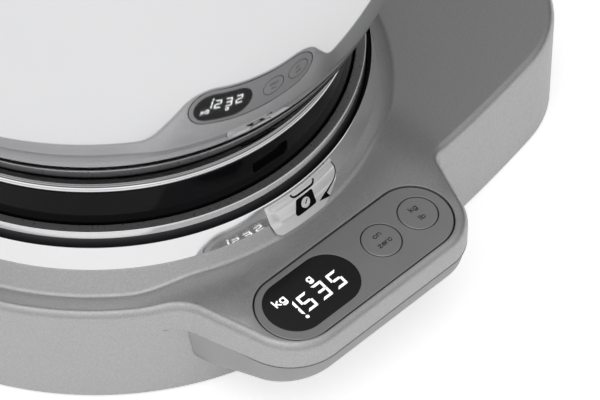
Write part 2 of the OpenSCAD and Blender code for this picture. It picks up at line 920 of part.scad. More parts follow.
module tact_switches() {
    color([0.12, 0.12, 0.13])
        on_panel()
            for (x = [zero_x, unit_x]) {
                translate([x - 3, -3, board_top])
                    cube([6, 6, switch_h]);
                rod([x, 0], 1.7, board_top + switch_h - 0.2, plunger_top);
            }
}

module board_screws() {
    color([0.70, 0.69, 0.66]) {
        on_panel()
            for (x = [-ear_x, ear_x])
                for (y = [-ear_y, ear_y])
                    screw_up([x, y], small_screw_r, board_top - board_t, board_top + 3, 2, 1.2);
        for (h = main_holes)
            translate([h[0], h[1] + main_y, 0]) {
                rod([0, 0], small_screw_r, main_z - 3, main_z + board_t);
                rod([0, 0], 2, main_z + board_t, main_z + board_t + 1.2);
            }
    }
}

// One push button about x on the panel
module button(x) {
    on_panel()
        difference() {
            union() {
                rod([x, 0], button_d / 2, panel_bottom - 0.2, -panel_sink);
                rod([x, 0], button_d / 2 + 0.8, flange_bottom, panel_bottom);
            }
            rod([x, 0], button_d / 2 - 2, flange_bottom - 1, flange_bottom + 0.8 - slip);
        }
    on_panel()
        rod([x, 0], 2.2, flange_bottom, panel_bottom);
}

module on_zero_button() {
    color([0.60, 0.61, 0.62])
        button(zero_x);
}

module unit_button() {
    color([0.60, 0.61, 0.62])
        button(unit_x);
}

// ---------- Electronics ----------

module ribbon_cable() {
    cable_w = 10;
    cable_t = 0.6;
    start_y = -panel_cy + ear_y - 8;
    start_z = panel_cz + board_top - board_t - 1.4;
    end_y = main_y - main_w / 2 + 1.5 - fit - slip;
    end_z = main_z + board_t + 1.5;
    path = [
        [start_y, start_z], [-body_r - 1, start_z - 1.2], [-body_r + 8, start_z - 3],
        [-body_r + 16, start_z - 8], [-body_r + 24, end_z + 3], [end_y, end_z]
    ];
    color([0.72, 0.72, 0.70])
        translate([-cable_w / 2, 0, 0])
            rotate([90, 0, 90])
                linear_extrude(cable_w)
                    polygon(concat(path, [for (p = turned(path)) [p[0] + 0.2, p[1] + cable_t]]));
}

module main_board() {
    color([0.10, 0.30, 0.18])
        difference() {
            translate([-main_l / 2, main_y - main_w / 2, main_z])
                cube([main_l, main_w, board_t]);
            for (h = main_holes)
                rod([h[0], h[1] + main_y], small_screw_r + slip, main_z - 1, main_z + board_t + 1);
        }
}

// Box about p on the main board, of size s
module chip(p, s) {
    translate([p[0] - s[0] / 2, main_y + p[1] - s[1] / 2, main_z + board_t])
        cube(s);
}

module board_parts() {
    color([0.14, 0.14, 0.15]) {
        chip([10, 2], [12, 12, 1.8]);
        chip([-12, 0], [8, 6, 1.6]);
        chip([0, 4 - main_w / 2], [16, 5, 2.9]);
        chip([plug_x, main_w / 2 - 3], [10, 5, 5]);
        chip([20, main_w / 2 - 4], [9, 5, 5]);
        for (x = [-4, 22])
            rod([x, main_y + 4 - (x > 0 ? 2 : -3)], 2.2, main_z + board_t, main_z + board_t + 6);
    }
}

module load_cell() {
    web = 2.2;
    eye_r = cell_w / 2 - web;
    eye_x = 7;
    color([0.74, 0.75, 0.76])
        difference() {
            translate([-cell_l / 2, -cell_w / 2, cell_bottom])
                cube([cell_l, cell_w, cell_w]);
            for (x = [-eye_x, eye_x])
                translate([x, cell_w, cell_bottom + cell_w / 2])
                    rotate([90, 0, 0])
                        cylinder(r = eye_r, h = 2 * cell_w, $fn = 64);
            translate([-eye_x, -cell_w, cell_bottom + cell_w / 2 - 1.5])
                cube([2 * eye_x, 2 * cell_w, 3]);
            for (x = cell_screw_x(-1))
                rod([x, 0], cell_screw_r + slip, cell_bottom - 1, cell_top + 1);
            for (x = cell_screw_x(1))
                rod([x, 0], cell_screw_r + fit, cell_bottom - 1, cell_top + 1);
        }
}

module cell_spacer() {
    color([0.58, 0.59, 0.60])
        difference() {
            translate([-cell_l / 2, -cell_w / 2, plate_top + cell_pad])
                cube([cell_pitch + 10, cell_w, spacer_t]);
            for (x = cell_screw_x(-1))
                rod([x, 0], cell_screw_r + slip, plate_top, cell_top);
        }
}

module cell_screws() {
    color([0.70, 0.70, 0.71])
        for (x = cell_screw_x(-1))
            screw_up([x, 0], cell_screw_r, plate_h + 2.5, cell_top - 2, 3.5, 2.2);
}

// Wires hanging in a shallow bow from the load cell to their plug
module cell_wires() {
    wire_r = 0.6;
    sag = 4;
    from_y = -cell_w / 2 - 0.4;
    to_y = main_y + main_w / 2 - 0.5 + 0.4;
    span = from_y - to_y;
    bow_r = span * span / (8 * sag) + sag / 2;
    half_a = asin(span / 2 / bow_r);
    color([0.75, 0.12, 0.10])
        for (i = [-1.5:1.5])
            translate([
                plug_x + 2.2 * i, (from_y + to_y) / 2,
                main_z + board_t + 2.8 + bow_r - sag
            ])
                rotate([0, 90, 0])
                    rotate([0, 0, -half_a])
                        rotate_extrude(angle = 2 * half_a, $fn = 180)
                            translate([bow_r, 0])
                                circle(wire_r, $fn = 24);
}

module overload_stop() {
    color([0.70, 0.70, 0.71]) {
        rod([cell_stop_x(), 0], 1.5, plate_h + 0.4, plate_top);
        rod([cell_stop_x(), 0], 3, plate_top, cell_bottom - cell_gap - slip);
    }
}

// ---------- Platform ----------

module platform_plate() {
    skirt = 5;
    rim_r = platform_r - ring_wall - slip;
    rim_top = platform_top - ring_flange - slip;
    color([0.05, 0.05, 0.055])
        difference() {
            union() {
                rotate_extrude($fn = 180)
                    polygon([
                        [0, floor_bottom],
                        [seat_r - 6, floor_bottom],
                        [seat_r - 1, floor_bottom - 1.5],
                        [seat_r - 1, floor_bottom - skirt],
                        [rim_r, floor_bottom - skirt],
                        [rim_r, rim_top],
                        [seat_r, rim_top],
                        [seat_r, seat_top],
                        [0, seat_top]
                    ]);
                rod([0, 0], 14, seat_top - 1, seat_top + 2.2);
            }
            for (a = [0:360 / arm_count:359])
                rotate([0, 0, a + 180 / arm_count])
                    rod([bracket_screw_r(), 0], screw_r + slip, floor_bottom - 1, seat_top + 1);
        }
}

// Distance of the bracket's arm screws from the axis
function bracket_screw_r() = seat_r - 26;

module platform_ring() {
    edge = 0.5;
    color([0.87, 0.88, 0.89])
        rotate_extrude($fn = 180)
            polygon([
                [platform_r - ring_wall, floor_bottom - 5],
                [platform_r, floor_bottom - 5],
                [platform_r, platform_top - edge],
                [platform_r - 0.15, platform_top - 0.15],
                [platform_r - edge, platform_top],
                [seat_r + edge, platform_top],
                [seat_r + 0.15, platform_top - 0.15],
                [seat_r, platform_top - edge],
                [seat_r, platform_top - ring_flange],
                [platform_r - ring_wall, platform_top - ring_flange]
            ]);
}

module platform_bracket() {
    base_t = 5;
    tip_r = bracket_screw_r() + 5;
    color([0.55, 0.56, 0.57])
        difference() {
            union() {
                translate([-hub_r + 2, -9, bracket_bottom])
                    cube([hub_r + cell_l / 2 - 1, 18, base_t]);
                rod([0, 0], hub_r, bracket_bottom, floor_bottom);
                for (a = [0:360 / arm_count:359])
                    rotate([0, 0, a + 180 / arm_count]) {
                        rotate([90, 0, 0])
                            translate([0, 0, -arm_t / 2])
                                linear_extrude(arm_t)
                                    polygon([
                                        [hub_r - 3, floor_bottom],
                                        [hub_r - 3, bracket_bottom + 8],
                                        [tip_r, floor_bottom - 5],
                                        [tip_r, floor_bottom]
                                    ]);
                        rod([bracket_screw_r(), 0], 5, floor_bottom - 6, floor_bottom);
                    }
            }
            rod([0, 0], hub_r - 9, bracket_bottom + base_t, floor_bottom + 1);
            for (x = cell_screw_x(1)) {
                rod([x, 0], cell_screw_r + slip, bracket_bottom - 1, floor_bottom + 1);
                rod([x, 0], 3.9, bracket_bottom + base_t, floor_bottom + 1);
            }
            for (a = [0:360 / arm_count:359])
                rotate([0, 0, a + 180 / arm_count])
                    rod([bracket_screw_r(), 0], screw_r + slip, floor_bottom - 5, floor_bottom + 1);
        }
}

module bracket_spacer() {
    color([0.58, 0.59, 0.60])
        difference() {
            translate([cell_l / 2 - cell_pitch - 10, -cell_w / 2, cell_top + cell_gap])
                cube([cell_pitch + 10, cell_w, spacer_t]);
            for (x = cell_screw_x(1))
                rod([x, 0], cell_screw_r + slip, cell_bottom, bracket_bottom + 1);
        }
}

module bracket_screws() {
    color([0.70, 0.70, 0.71])
        for (x = cell_screw_x(1)) {
            rod([x, 0], cell_screw_r, cell_bottom + 3, bracket_bottom + 5);
            rod([x, 0], 3.5, bracket_bottom + 5, bracket_bottom + 7.2);
        }
}

module plate_screws() {
    color([0.70, 0.70, 0.71])
        for (a = [0:360 / arm_count:359])
            rotate([0, 0, a + 180 / arm_count]) {
                rod([bracket_screw_r(), 0], screw_r, floor_bottom - 4, seat_top);
                rod([bracket_screw_r(), 0], 2.8, seat_top, seat_top + 1.5);
            }
}

// ---------- Bowl ----------

// Outer radius of the bowl at the height h above its foot
function bowl_r(h) =
    let (k = min(h, bowl_belly_h))
        bowl_r0 + belly * k - belly / (2 * bowl_belly_h) * k * k;

// The bowl's outline from the floor's middle to the rim, set in by t
function bowl_line(t) = concat(
    [[0, bowl_floor + t]],
    [
        for (i = [0:6])
            let (a = -90 + (90 - bowl_lean) * i / 6)
                [bend_x + (bend_r - t) * cos(a), bowl_floor + bend_r + (bend_r - t) * sin(a)]
    ],
    [
        for (i = [1:12])
            let (h = (bowl_top - bowl_start) * i / 12)
                [bowl_r(h) - t, bowl_start + h]
    ]
);

module bowl() {
    bead_r = 1.2;
    color([0.80, 0.81, 0.82])
        rotate_extrude($fn = 180) {
            polygon(concat(bowl_line(0), turned(bowl_line(bowl_t))));
            translate([foot_r - 0.7, foot_top + bead_r + 0.05])
                circle(bead_r, $fn = 24);
            translate([bowl_r(bowl_h) + rim_roll_r - bowl_t, bowl_top - rim_roll_r + 0.6])
                circle(rim_roll_r, $fn = 32);
        }
}

module bowl_foot() {
    inner = foot_r - 11;
    pocket_d = 2.2;
    pocket_w = 16.6;
    pocket_h = 6.4;
    pocket_z = platform_top + 5.2;
    line = [
        for (i = [0:5])
            let (a = -62 + (62 - bowl_lean - 4) * i / 5)
                [
                    bend_x + (bend_r + fit) * cos(a),
                    bowl_floor + bend_r + (bend_r + fit) * sin(a)
                ]
    ];
    color([0.05, 0.05, 0.055])
        difference() {
            rotate_extrude($fn = 180)
                polygon(concat(
                    [
                        [foot_r, seat_top + 1.2],
                        [foot_r, foot_top - 0.5],
                        [foot_r - 0.4, foot_top]
                    ],
                    [[line[5][0], foot_top]],
                    turned(line),
                    [[inner - 3, line[0][1]], [inner - 3, seat_top + 1.2]]
                ));
            for (i = [0:pocket_count - 1])
                rotate([0, 0, i * 360 / pocket_count - 92.6])
                    translate([foot_r - pocket_d, 0, pocket_z + pocket_h / 2])
                        rotate([90, 0, 90])
                            linear_extrude(pocket_d + 1)
                                round_rect(pocket_w, pocket_h, 1.2);
        }
}

module foot_ring_pad() {
    color([0.10, 0.10, 0.10])
        rotate_extrude($fn = 180)
            polygon([
                [foot_r - 12, seat_top],
                [foot_r - 3, seat_top],
                [foot_r - 3, seat_top + 1.2],
                [foot_r - 12, seat_top + 1.2]
            ]);
}

housing();
console_cover();
cover_screws();
base_plate();
housing_screws();
feet();
battery_door();
batteries();
battery_contacts();
trim_ring();
index_tab();
gap_seal();
panel_gasket();
display_panel();
display_window();
lcd_module();
display_board();
tact_switches();
board_screws();
on_zero_button();
unit_button();
ribbon_cable();
main_board();
board_parts();
load_cell();
cell_spacer();
cell_screws();
cell_wires();
overload_stop();
platform_plate();
platform_ring();
platform_bracket();
bracket_spacer();
bracket_screws();
plate_screws();
bowl_foot();
foot_ring_pad();
bowl();
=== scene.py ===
"""Dressed model of a table-top kitchen scale with its mixing bowl.

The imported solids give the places; every class below holds the sizes of one sub-assembly in
millimetres, builds its visible skins and gives them their finishes.
"""

import logging
import math
from dataclasses import dataclass
from enum import Enum
from functools import lru_cache
from typing import Any, Callable, Sequence

import bmesh
import bpy
import numpy as np
from mathutils import Matrix, Vector
from mathutils.geometry import delaunay_2d_cdt


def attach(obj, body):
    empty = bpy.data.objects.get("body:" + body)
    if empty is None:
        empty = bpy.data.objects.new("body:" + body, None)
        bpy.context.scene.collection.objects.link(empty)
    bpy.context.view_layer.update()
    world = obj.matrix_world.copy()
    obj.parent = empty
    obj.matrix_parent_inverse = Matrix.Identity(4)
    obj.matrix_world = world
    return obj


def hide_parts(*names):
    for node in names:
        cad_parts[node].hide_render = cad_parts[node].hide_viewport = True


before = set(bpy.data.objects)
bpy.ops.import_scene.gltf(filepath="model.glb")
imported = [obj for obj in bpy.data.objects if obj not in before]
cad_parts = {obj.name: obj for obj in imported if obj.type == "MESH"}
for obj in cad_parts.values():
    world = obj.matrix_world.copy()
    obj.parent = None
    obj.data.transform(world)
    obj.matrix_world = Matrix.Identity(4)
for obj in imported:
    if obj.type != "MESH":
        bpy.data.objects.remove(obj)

MM = 0.001
# Angles of a small rounding, from its outer end
QUARTER = (0, 30, 60, 90)
# Distance of the points that hold a face flat beside a rounding
SUPPORT = 0.06
# Greatest share of a side that one corner's rounding may take
SIDE_SHARE = 0.49
# Least distance of an added inner point from an outline, as a share of their spacing
NEAREST = 0.55
LOG = logging.getLogger("kitchen_scale")

Flat = tuple[float, float]
Spot = tuple[float, float, float]
Colour = tuple[float, float, float]
Height = float | Callable[[float, float], float]


# ---------------------------------------------------------------- plain geometry


def arc(centre: Flat, radius: float, start: float, end: float, count: int) -> list[Flat]:
    """Points of an arc in degrees, both ends included.

    Args:
        centre: middle of the arc.
        radius: its radius.
        start: angle of the first point.
        end: angle of the last point.
        count: number of steps.

    Returns:
        count + 1 points.
    """
    steps = np.radians(np.linspace(start, end, count + 1))
    return [(centre[0] + radius * math.cos(a), centre[1] + radius * math.sin(a)) for a in steps]


def circle(radius: float, count: int, centre: Flat = (0.0, 0.0)) -> list[Flat]:
    """Points of a full circle, anticlockwise."""
    return arc(centre, radius, 0.0, 360.0, count)[:-1]


def rounding(across: float, down: float, angles: Sequence[float]) -> list[Flat]:
    """How far an edge's rounding is set in and down at each angle in degrees, 90 at its inner end."""
    return [(across * (1 - math.cos(t)), down * (1 - math.sin(t))) for t in np.radians(angles)]


def distances(line: np.ndarray) -> np.ndarray:
    """Distance of each point of an open line from its first, along the line."""
    return np.concatenate([[0], np.cumsum(np.hypot(*np.diff(line, axis=0).T))])


def spaced(line: np.ndarray, count: int) -> np.ndarray:
    """The open line as count points at even distances."""
    along = distances(line)
    even = np.linspace(0, along[-1], count)
    return np.stack([np.interp(even, along, line[:, k]) for k in range(2)], 1)


def pill(half: float, radius: float, steps: int = 32) -> list[Flat]:
    """Points of a slot shape along x, anticlockwise.

    Args:
        half: half the distance between the two end centres.
        radius: end radius.
        steps: steps in each half circle.

    Returns:
        The closed outline without a repeated point.
    """
    runs = max(2, round(2 * half / 3.0))
    upper = [(half - 2 * half * k / runs, radius) for k in range(1, runs)]
    lower = [(-half + 2 * half * k / runs, -radius) for k in range(1, runs)]
    return arc((half, 0), radius, -90, 90, steps) + upper + arc((-half, 0), radius, 90, 270, steps) + lower


def rounded(corners: Sequence[Spot], steps: int = 5) -> list[Flat]:
    """A closed section whose corners are rounded, with a point close beside each rounding.

    Args:
        corners: (r, z, rounding) of each corner in order.
        steps: steps in each rounding.

    Returns:
        Points of the section.
    """
    out: list[Flat] = []
    count = len(corners)
    for i, (x, y, size) in enumerate(corners):
        if size <= 0:
            out.append((x, y))
            continue
        here = Vector((x, y))
        before = Vector(corners[i - 1][:2]) - here
        after = Vector(corners[(i + 1) % count][:2]) - here
        before_n, after_n = before.normalized(), after.normalized()
        half = before_n.angle(after_n) / 2
        reach = min(size / math.tan(half), SIDE_SHARE * before.length, SIDE_SHARE * after.length)
        size = reach * math.tan(half)
        centre = here + (before_n + after_n).normalized() * (size / math.sin(half))
        a = here + before_n * reach - centre
        b = here + after_n * reach - centre
        turn = a.angle_signed(b) if a.length > 1e-9 and b.length > 1e-9 else 0.0
        beside = reach + SUPPORT
        if beside < SIDE_SHARE * before.length:
            out.append(tuple(here + before_n * beside))
        for k in range(steps + 1):
            t = -turn * k / steps
            out.append((
                centre.x + a.x * math.cos(t) - a.y * math.sin(t),
                centre.y + a.x * math.sin(t) + a.y * math.cos(t),
            ))
        if beside < SIDE_SHARE * after.length:
            out.append(tuple(here + after_n * beside))
    return out


def brush(line: Sequence[Flat], half: float) -> list[Flat]:
    """A band of even width with round ends along an open line.

    Args:
        line: its middle.
        half: half its width.

    Returns:
        The closed outline.
    """
    body = ribbon(line, half, half)
    count = len(line)
    ends = []
    for here, edge in ((line[-1], body[count - 1]), (line[0], body[-1])):
        start = math.degrees(math.atan2(edge[1] - here[1], edge[0] - here[0]))
        ends.append(arc(here, half, start, start - 180, 8)[1:-1])
    return body[:count] + ends[0] + body[count:] + ends[1]


def ribbon(line: Sequence[Flat], start: float, end: float) -> list[Flat]:
    """A band along a line.

    Args:
        line: its middle.
        start: half its width at the beginning.
        end: half its width at the end.

    Returns:
        The closed outline.
    """
    spots = np.array(line, float)
    way = np.gradient(spots, axis=0)
    way /= np.hypot(*way.T)[:, None]
    side = np.stack([-way[:, 1], way[:, 0]], 1)
    half = np.linspace(start, end, len(spots))[:, None]
    return [tuple(p) for p in spots + side * half] + [tuple(p) for p in (spots - side * half)[::-1]]


def smooth(line: Sequence[Flat]) -> list[Flat]:
    """The open line with its corners cut twice."""
    spots = [Vector(p) for p in line]
    for _ in range(2):
        out = [spots[0]]
        for a, b in zip(spots, spots[1:]):
            out += [a.lerp(b, 0.25), a.lerp(b, 0.75)]
        spots = out + [spots[-1]]
    return [(p.x, p.y) for p in spots]


def resample(loop: Sequence[Flat], step: float) -> list[Flat]:
    """The closed outline with points at even steps, its own points kept."""
    out: list[Flat] = []
    for (x0, y0), (x1, y1) in zip(loop, list(loop[1:]) + [loop[0]]):
        parts = max(1, round(math.hypot(x1 - x0, y1 - y0) / step))
        out += [(x0 + (x1 - x0) * k / parts, y0 + (y1 - y0) * k / parts) for k in range(parts)]
    return out


def inset(loop: Sequence[Flat], d: float) -> list[Flat]:
    """The closed anticlockwise outline moved inwards by d."""
    spots = np.array(loop)
    ahead = np.roll(spots, -1, 0) - spots
    ahead /= np.hypot(*ahead.T)[:, None] + 1e-12
    behind = np.roll(ahead, 1, 0)
    normal = np.stack([-(ahead[:, 1] + behind[:, 1]), ahead[:, 0] + behind[:, 0]], 1)
    size = np.hypot(*normal.T)[:, None]
    normal /= size + 1e-12
    area = np.sum(spots[:, 0] * np.roll(spots[:, 1], -1) - np.roll(spots[:, 0], -1) * spots[:, 1])
    return [tuple(p) for p in spots + normal * (d if area > 0 else -d)]


def inside(loops: Sequence[np.ndarray], spots: np.ndarray) -> np.ndarray:
    """Which spots lie inside an odd number of the loops.

    Args:
        loops: closed outlines, each an array of x, y rows.
        spots: x, y rows to test.

    Returns:
        One truth value per spot.
    """
    hits = np.zeros(len(spots), int)
    for loop in loops:
        a, b = loop, np.roll(loop, -1, 0)
        for (x0, y0), (x1, y1) in zip(a, b):
            if y0 == y1:
                continue
            crosses = (spots[:, 1] > min(y0, y1)) & (spots[:, 1] <= max(y0, y1))
            at = x0 + (spots[:, 1] - y0) * (x1 - x0) / (y1 - y0)
            hits += crosses & (spots[:, 0] < at)
    return hits % 2 == 1


class Shell:
    """Points and faces of one piece, in millimetres."""

    def __init__(self) -> None:
        """Starts with nothing in it."""
        self.points: list[Spot] = []
        self.faces: list[tuple[int, ...]] = []

    def ring(self, spots: Sequence[Spot]) -> list[int]:
        """Adds points and returns their numbers."""
        start = len(self.points)
        self.points.extend((float(p[0]), float(p[1]), float(p[2])) for p in spots)
        return list(range(start, len(self.points)))

    def level(self, outline: Sequence[Flat], height: Height) -> list[int]:
        """Adds an outline's points at a height or on a surface, and returns their numbers."""
        return self.ring([(x, y, height(x, y) if callable(height) else height) for x, y in outline])

    def turn(self, r: float, z: float, count: int) -> list[int]:
        """Adds a circle of points about the z axis and returns their numbers."""
        angles = np.radians(np.arange(count) * 360.0 / count)
        return self.ring([(r * math.cos(a), r * math.sin(a), z) for a in angles])

    def bridge(self, low: Sequence[int], high: Sequence[int]) -> None:
        """Joins two loops of as many points by four-sided faces."""
        count = len(low)
        for i in range(count):
            j = (i + 1) % count
            self.faces.append((low[i], low[j], high[j], high[i]))

    def skin(self, rows: Sequence[Sequence[int]]) -> None:
        """Bridges each loop to the next."""
        for low, high in zip(rows, rows[1:]):
            self.bridge(low, high)

    def fill(self, loops: Sequence[Sequence[int]], height: Height, spacing: float = 0.0) -> None:
        """Fills the region between loops with triangles.

        Args:
            loops: numbers of the points of each loop, the outer one and any holes.
            height: height of the added inner points, or of the surface on which they lie.
            spacing: grid of added inner points, or 0 for none.
        """
        numbers = [i for loop in loops for i in loop]
        coords = [Vector(self.points[i][:2]) for i in numbers]
        edges: list[tuple[int, int]] = []
        start = 0
        for loop in loops:
            count = len(loop)
            edges += [(start + k, start + (k + 1) % count) for k in range(count)]
            start += count
        flats = [np.array([self.points[i][:2] for i in loop]) for loop in loops]
        if spacing > 0:
            every = np.concatenate(flats)
            low, high = every.min(0), every.max(0)
            xs = np.arange(low[0] + spacing / 2, high[0], spacing)
            ys = np.arange(low[1] + spacing / 2, high[1], spacing)
            grid = np.array([(x, y) for x in xs for y in ys])
            grid = grid[inside(flats, grid)]
            near = np.array([np.min(np.hypot(*(every - g).T)) for g in grid]) if len(grid) else []
            grid = grid[np.array(near) > NEAREST * spacing] if len(grid) else grid
            coords += [Vector((float(x), float(y))) for x, y in grid]
            numbers += self.level([(float(x), float(y)) for x, y in grid], height)
        spots, _, faces, origin, _, _ = delaunay_2d_cdt(coords, edges, [], 0, 1e-6)
        middle = np.array([np.mean([spots[k][:] for k in f], axis=0) for f in faces])
        keep = inside(flats, middle)
        for face, good in zip(faces, keep):
            if good and all(origin[k] for k in face):
                self.faces.append(tuple(numbers[origin[k][0]] for k in face))

    def moved(self, matrix: Matrix) -> "Shell":
        """Places every point by a matrix and returns the shell."""
        self.points = [tuple(matrix @ Vector(p)) for p in self.points]
        return self

    def mapped(self, place: Callable[[float, float, float], Spot]) -> "Shell":
        """Places every point by a function and returns the shell."""
        self.points = [place(*p) for p in self.points]
        return self

    def piece(self, name: str, finish: "Finish", sharp: float = 40.0) -> bpy.types.Object:
        """Makes the Blender object.

        Args:
            name: name of the piece.
            finish: its finish.
            sharp: edges that turn by more than this many degrees stay sharp.

        Returns:
            The linked object, at the origin.
        """
        mesh = bpy.data.meshes.new(name)
        mesh.from_pydata([(x * MM, y * MM, z * MM) for x, y, z in self.points], [], self.faces)
        work = bmesh.new()
        work.from_mesh(mesh)
        bmesh.ops.remove_doubles(work, verts=work.verts, dist=1e-7)
        loose = [v for v in work.verts if not v.link_faces]
        bmesh.ops.delete(work, geom=loose, context="VERTS")
        bmesh.ops.recalc_face_normals(work, faces=work.faces)
        work.to_mesh(mesh)
        work.free()
        mesh.shade_smooth()
        mesh.set_sharp_from_angle(angle=math.radians(sharp))
        piece = bpy.data.objects.new(name, mesh)
        bpy.context.scene.collection.objects.link(piece)
        mesh.materials.append(finish.material())
        LOG.info("%s: %d faces", name, len(mesh.polygons))
        return piece


def lathe(section: Sequence[Flat], closed: bool = True, count: int = 256) -> Shell:
    """Turns a section about the z axis.

    Args:
        section: (r, z) points; an open section ends on the axis.
        closed: whether the last point joins the first.
        count: steps round the axis.

    Returns:
        The turned shell.
    """
    shell = Shell()
    rows = [shell.ring([(0, 0, z)]) * count if r < 1e-9 else shell.turn(r, z, count) for r, z in section]
    shell.skin(rows + rows[:1] if closed else rows)
    shell.faces = [tuple(dict.fromkeys(f)) for f in shell.faces]
    shell.faces = [f for f in shell.faces if len(f) > 2]
    return shell


def plate(outer: Callable[[float], list[Flat]], holes: Sequence[Callable[[float], list[Flat]]],
          bottom: float, top: float, edge: float = 0.25, hole_edge: float = 0.15) -> Shell:
    """A flat plate with rounded upper edges.

    Args:
        outer: outline at a distance inwards.
        holes: outline of each hole at a distance outwards.
        bottom: height of the underside.
        top: height of the face.
        edge: rounding of the outer edge.
        hole_edge: rounding of each hole's edge.

    Returns:
        The closed plate.
    """
    shell = Shell()
    upper: list[list[int]] = []
    lower: list[list[int]] = []
    for shape, size in [(outer, edge)] + [(h, hole_edge) for h in holes]:
        rows = [shell.level(shape(0.0), bottom)]
        rows += [shell.level(shape(d), top - drop) for d, drop in rounding(size, size, np.linspace(0, 90, 5))]
        rows.append(shell.level(shape(size + 0.04), top))
        shell.skin(rows)
        upper.append(rows[-1])
        lower.append(rows[0])
    shell.fill(upper, top)
    shell.fill(lower, bottom)
    return shell


def inlay(loops: Sequence[Sequence[Flat]], low: float, high: float, spacing: float = 0.0) -> Shell:
    """A thin printed figure, flat until it is placed.

    Args:
        loops: outlines in the surface's own two directions, the outer one and any holes.
        low: lift of the underside.
        high: lift of the face.
        spacing: grid of added points, so that the figure can bend with a surface.

    Returns:
        The figure.
    """
    shell = Shell()
    tops = [shell.level(loop, high) for loop in loops]
    feet = [shell.level(loop, low) for loop in loops]
    for foot, head in zip(feet, tops):
        shell.bridge(foot, head)
    shell.fill(tops, high, spacing)
    shell.fill(feet, low, spacing)
    return shell


def joined(shells: Sequence[Shell]) -> Shell:
    """Several shells as one."""
    out = Shell()
    for shell in shells:
        start = len(out.points)
        out.points += shell.points
        out.faces += [tuple(i + start for i in f) for f in shell.faces]
    return out


def drill(piece: bpy.types.Object, rods: Sequence[tuple[Flat, float, float, float]], sharp: float) -> None:
    """Takes upright round holes out of a piece.

    Args:
        piece: the piece; its mesh is renewed.
        rods: centre, radius, foot and head of each hole.
        sharp: edges that turn by more than this many degrees stay sharp.
    """
    work = bmesh.new()
    for (x, y), r, foot, head in rods:
        place = Matrix.Translation(Vector((x, y, (foot + head) / 2)) * MM)
        bmesh.ops.create_cone(work, cap_ends=True, segments=48, radius1=r * MM, radius2=r * MM,
                              depth=(head - foot) * MM, matrix=place)
    mesh = bpy.data.meshes.new("drill")
    work.to_mesh(mesh)
    work.free()
    tool = bpy.data.objects.new("drill", mesh)
    bpy.context.scene.collection.objects.link(tool)
    cut = piece.modifiers.new("drill", "BOOLEAN")
    cut.operation, cut.solver, cut.object = "DIFFERENCE", "EXACT", tool
    renewed = plain(piece, sharp)
    bpy.data.objects.remove(tool)
    LOG.info("%s: drilled, %d faces", piece.name, len(renewed.polygons))


def plain(piece: bpy.types.Object, sharp: float) -> bpy.types.Mesh:
    """Makes what a piece's modifiers show its plain mesh, and removes the modifiers."""
    seen = piece.evaluated_get(bpy.context.evaluated_depsgraph_get())
    mesh = bpy.data.meshes.new_from_object(seen)
    piece.modifiers.clear()
    old, piece.data = piece.data, mesh
    mesh.name = piece.name
    bpy.data.meshes.remove(old)
    mesh.shade_smooth()
    mesh.set_sharp_from_angle(angle=math.radians(sharp))
    return mesh


def smoothstep(k: float) -> float:
    """0 below 0, 1 above 1 and an even rise between."""
    k = min(1.0, max(0.0, k))
    return k * k * (3 - 2 * k)


# ---------------------------------------------------------------- node trees


def add_node(tree: bpy.types.NodeTree, kind: str, inputs: dict[str | int, Any] | None = None,
             **settings: Any) -> bpy.types.Node:
    """Adds a node, sets its properties and fills or links its inputs.

    Args:
        tree: node tree to add to.
        kind: type of the node.
        inputs: value, socket or list of sockets for an input, by its name or number.
        settings: properties of the node, set before the inputs.

    Returns:
        The node.
    """
    node = tree.nodes.new(kind)
    for name, value in settings.items():
        setattr(node, name, value)
    for key, value in (inputs or {}).items():
        if isinstance(value, (bpy.types.NodeSocket, list)):
            for source in value if isinstance(value, list) else [value]:
                tree.links.new(source, node.inputs[key])
        else:
            node.inputs[key].default_value = value
    return node


def remapped(tree: bpy.types.NodeTree, source: bpy.types.NodeSocket, span: Flat, result: Flat,
             kind: str = "SMOOTHSTEP") -> bpy.types.NodeSocket:
    """A value that goes over one span turned into one that goes over another.

    Args:
        tree: node tree to add to.
        source: the value.
        span: where it begins and ends.
        result: what the two ends become.
        kind: how it runs between them.

    Returns:
        The new value.
    """
    return add_node(tree, "ShaderNodeMapRange", {
        "Value": source, "From Min": span[0], "From Max": span[1],
        "To Min": result[0], "To Max": result[1],
    }, interpolation_type=kind).outputs["Result"]


# ---------------------------------------------------------------- finishes


class Grain(Enum):
    """What a finish's fine relief looks like."""

    SPECKLE = "speckle"
    MOULD = "mould"
    POLISH = "polish"
    CAST = "cast"


# Where nearly all of a noise's values lie
NOISE_SPAN = (0.3, 0.7)

RELIEF_DETAIL = {Grain.SPECKLE: 1.0, Grain.MOULD: 2.0, Grain.POLISH: 3.0, Grain.CAST: 5.0}


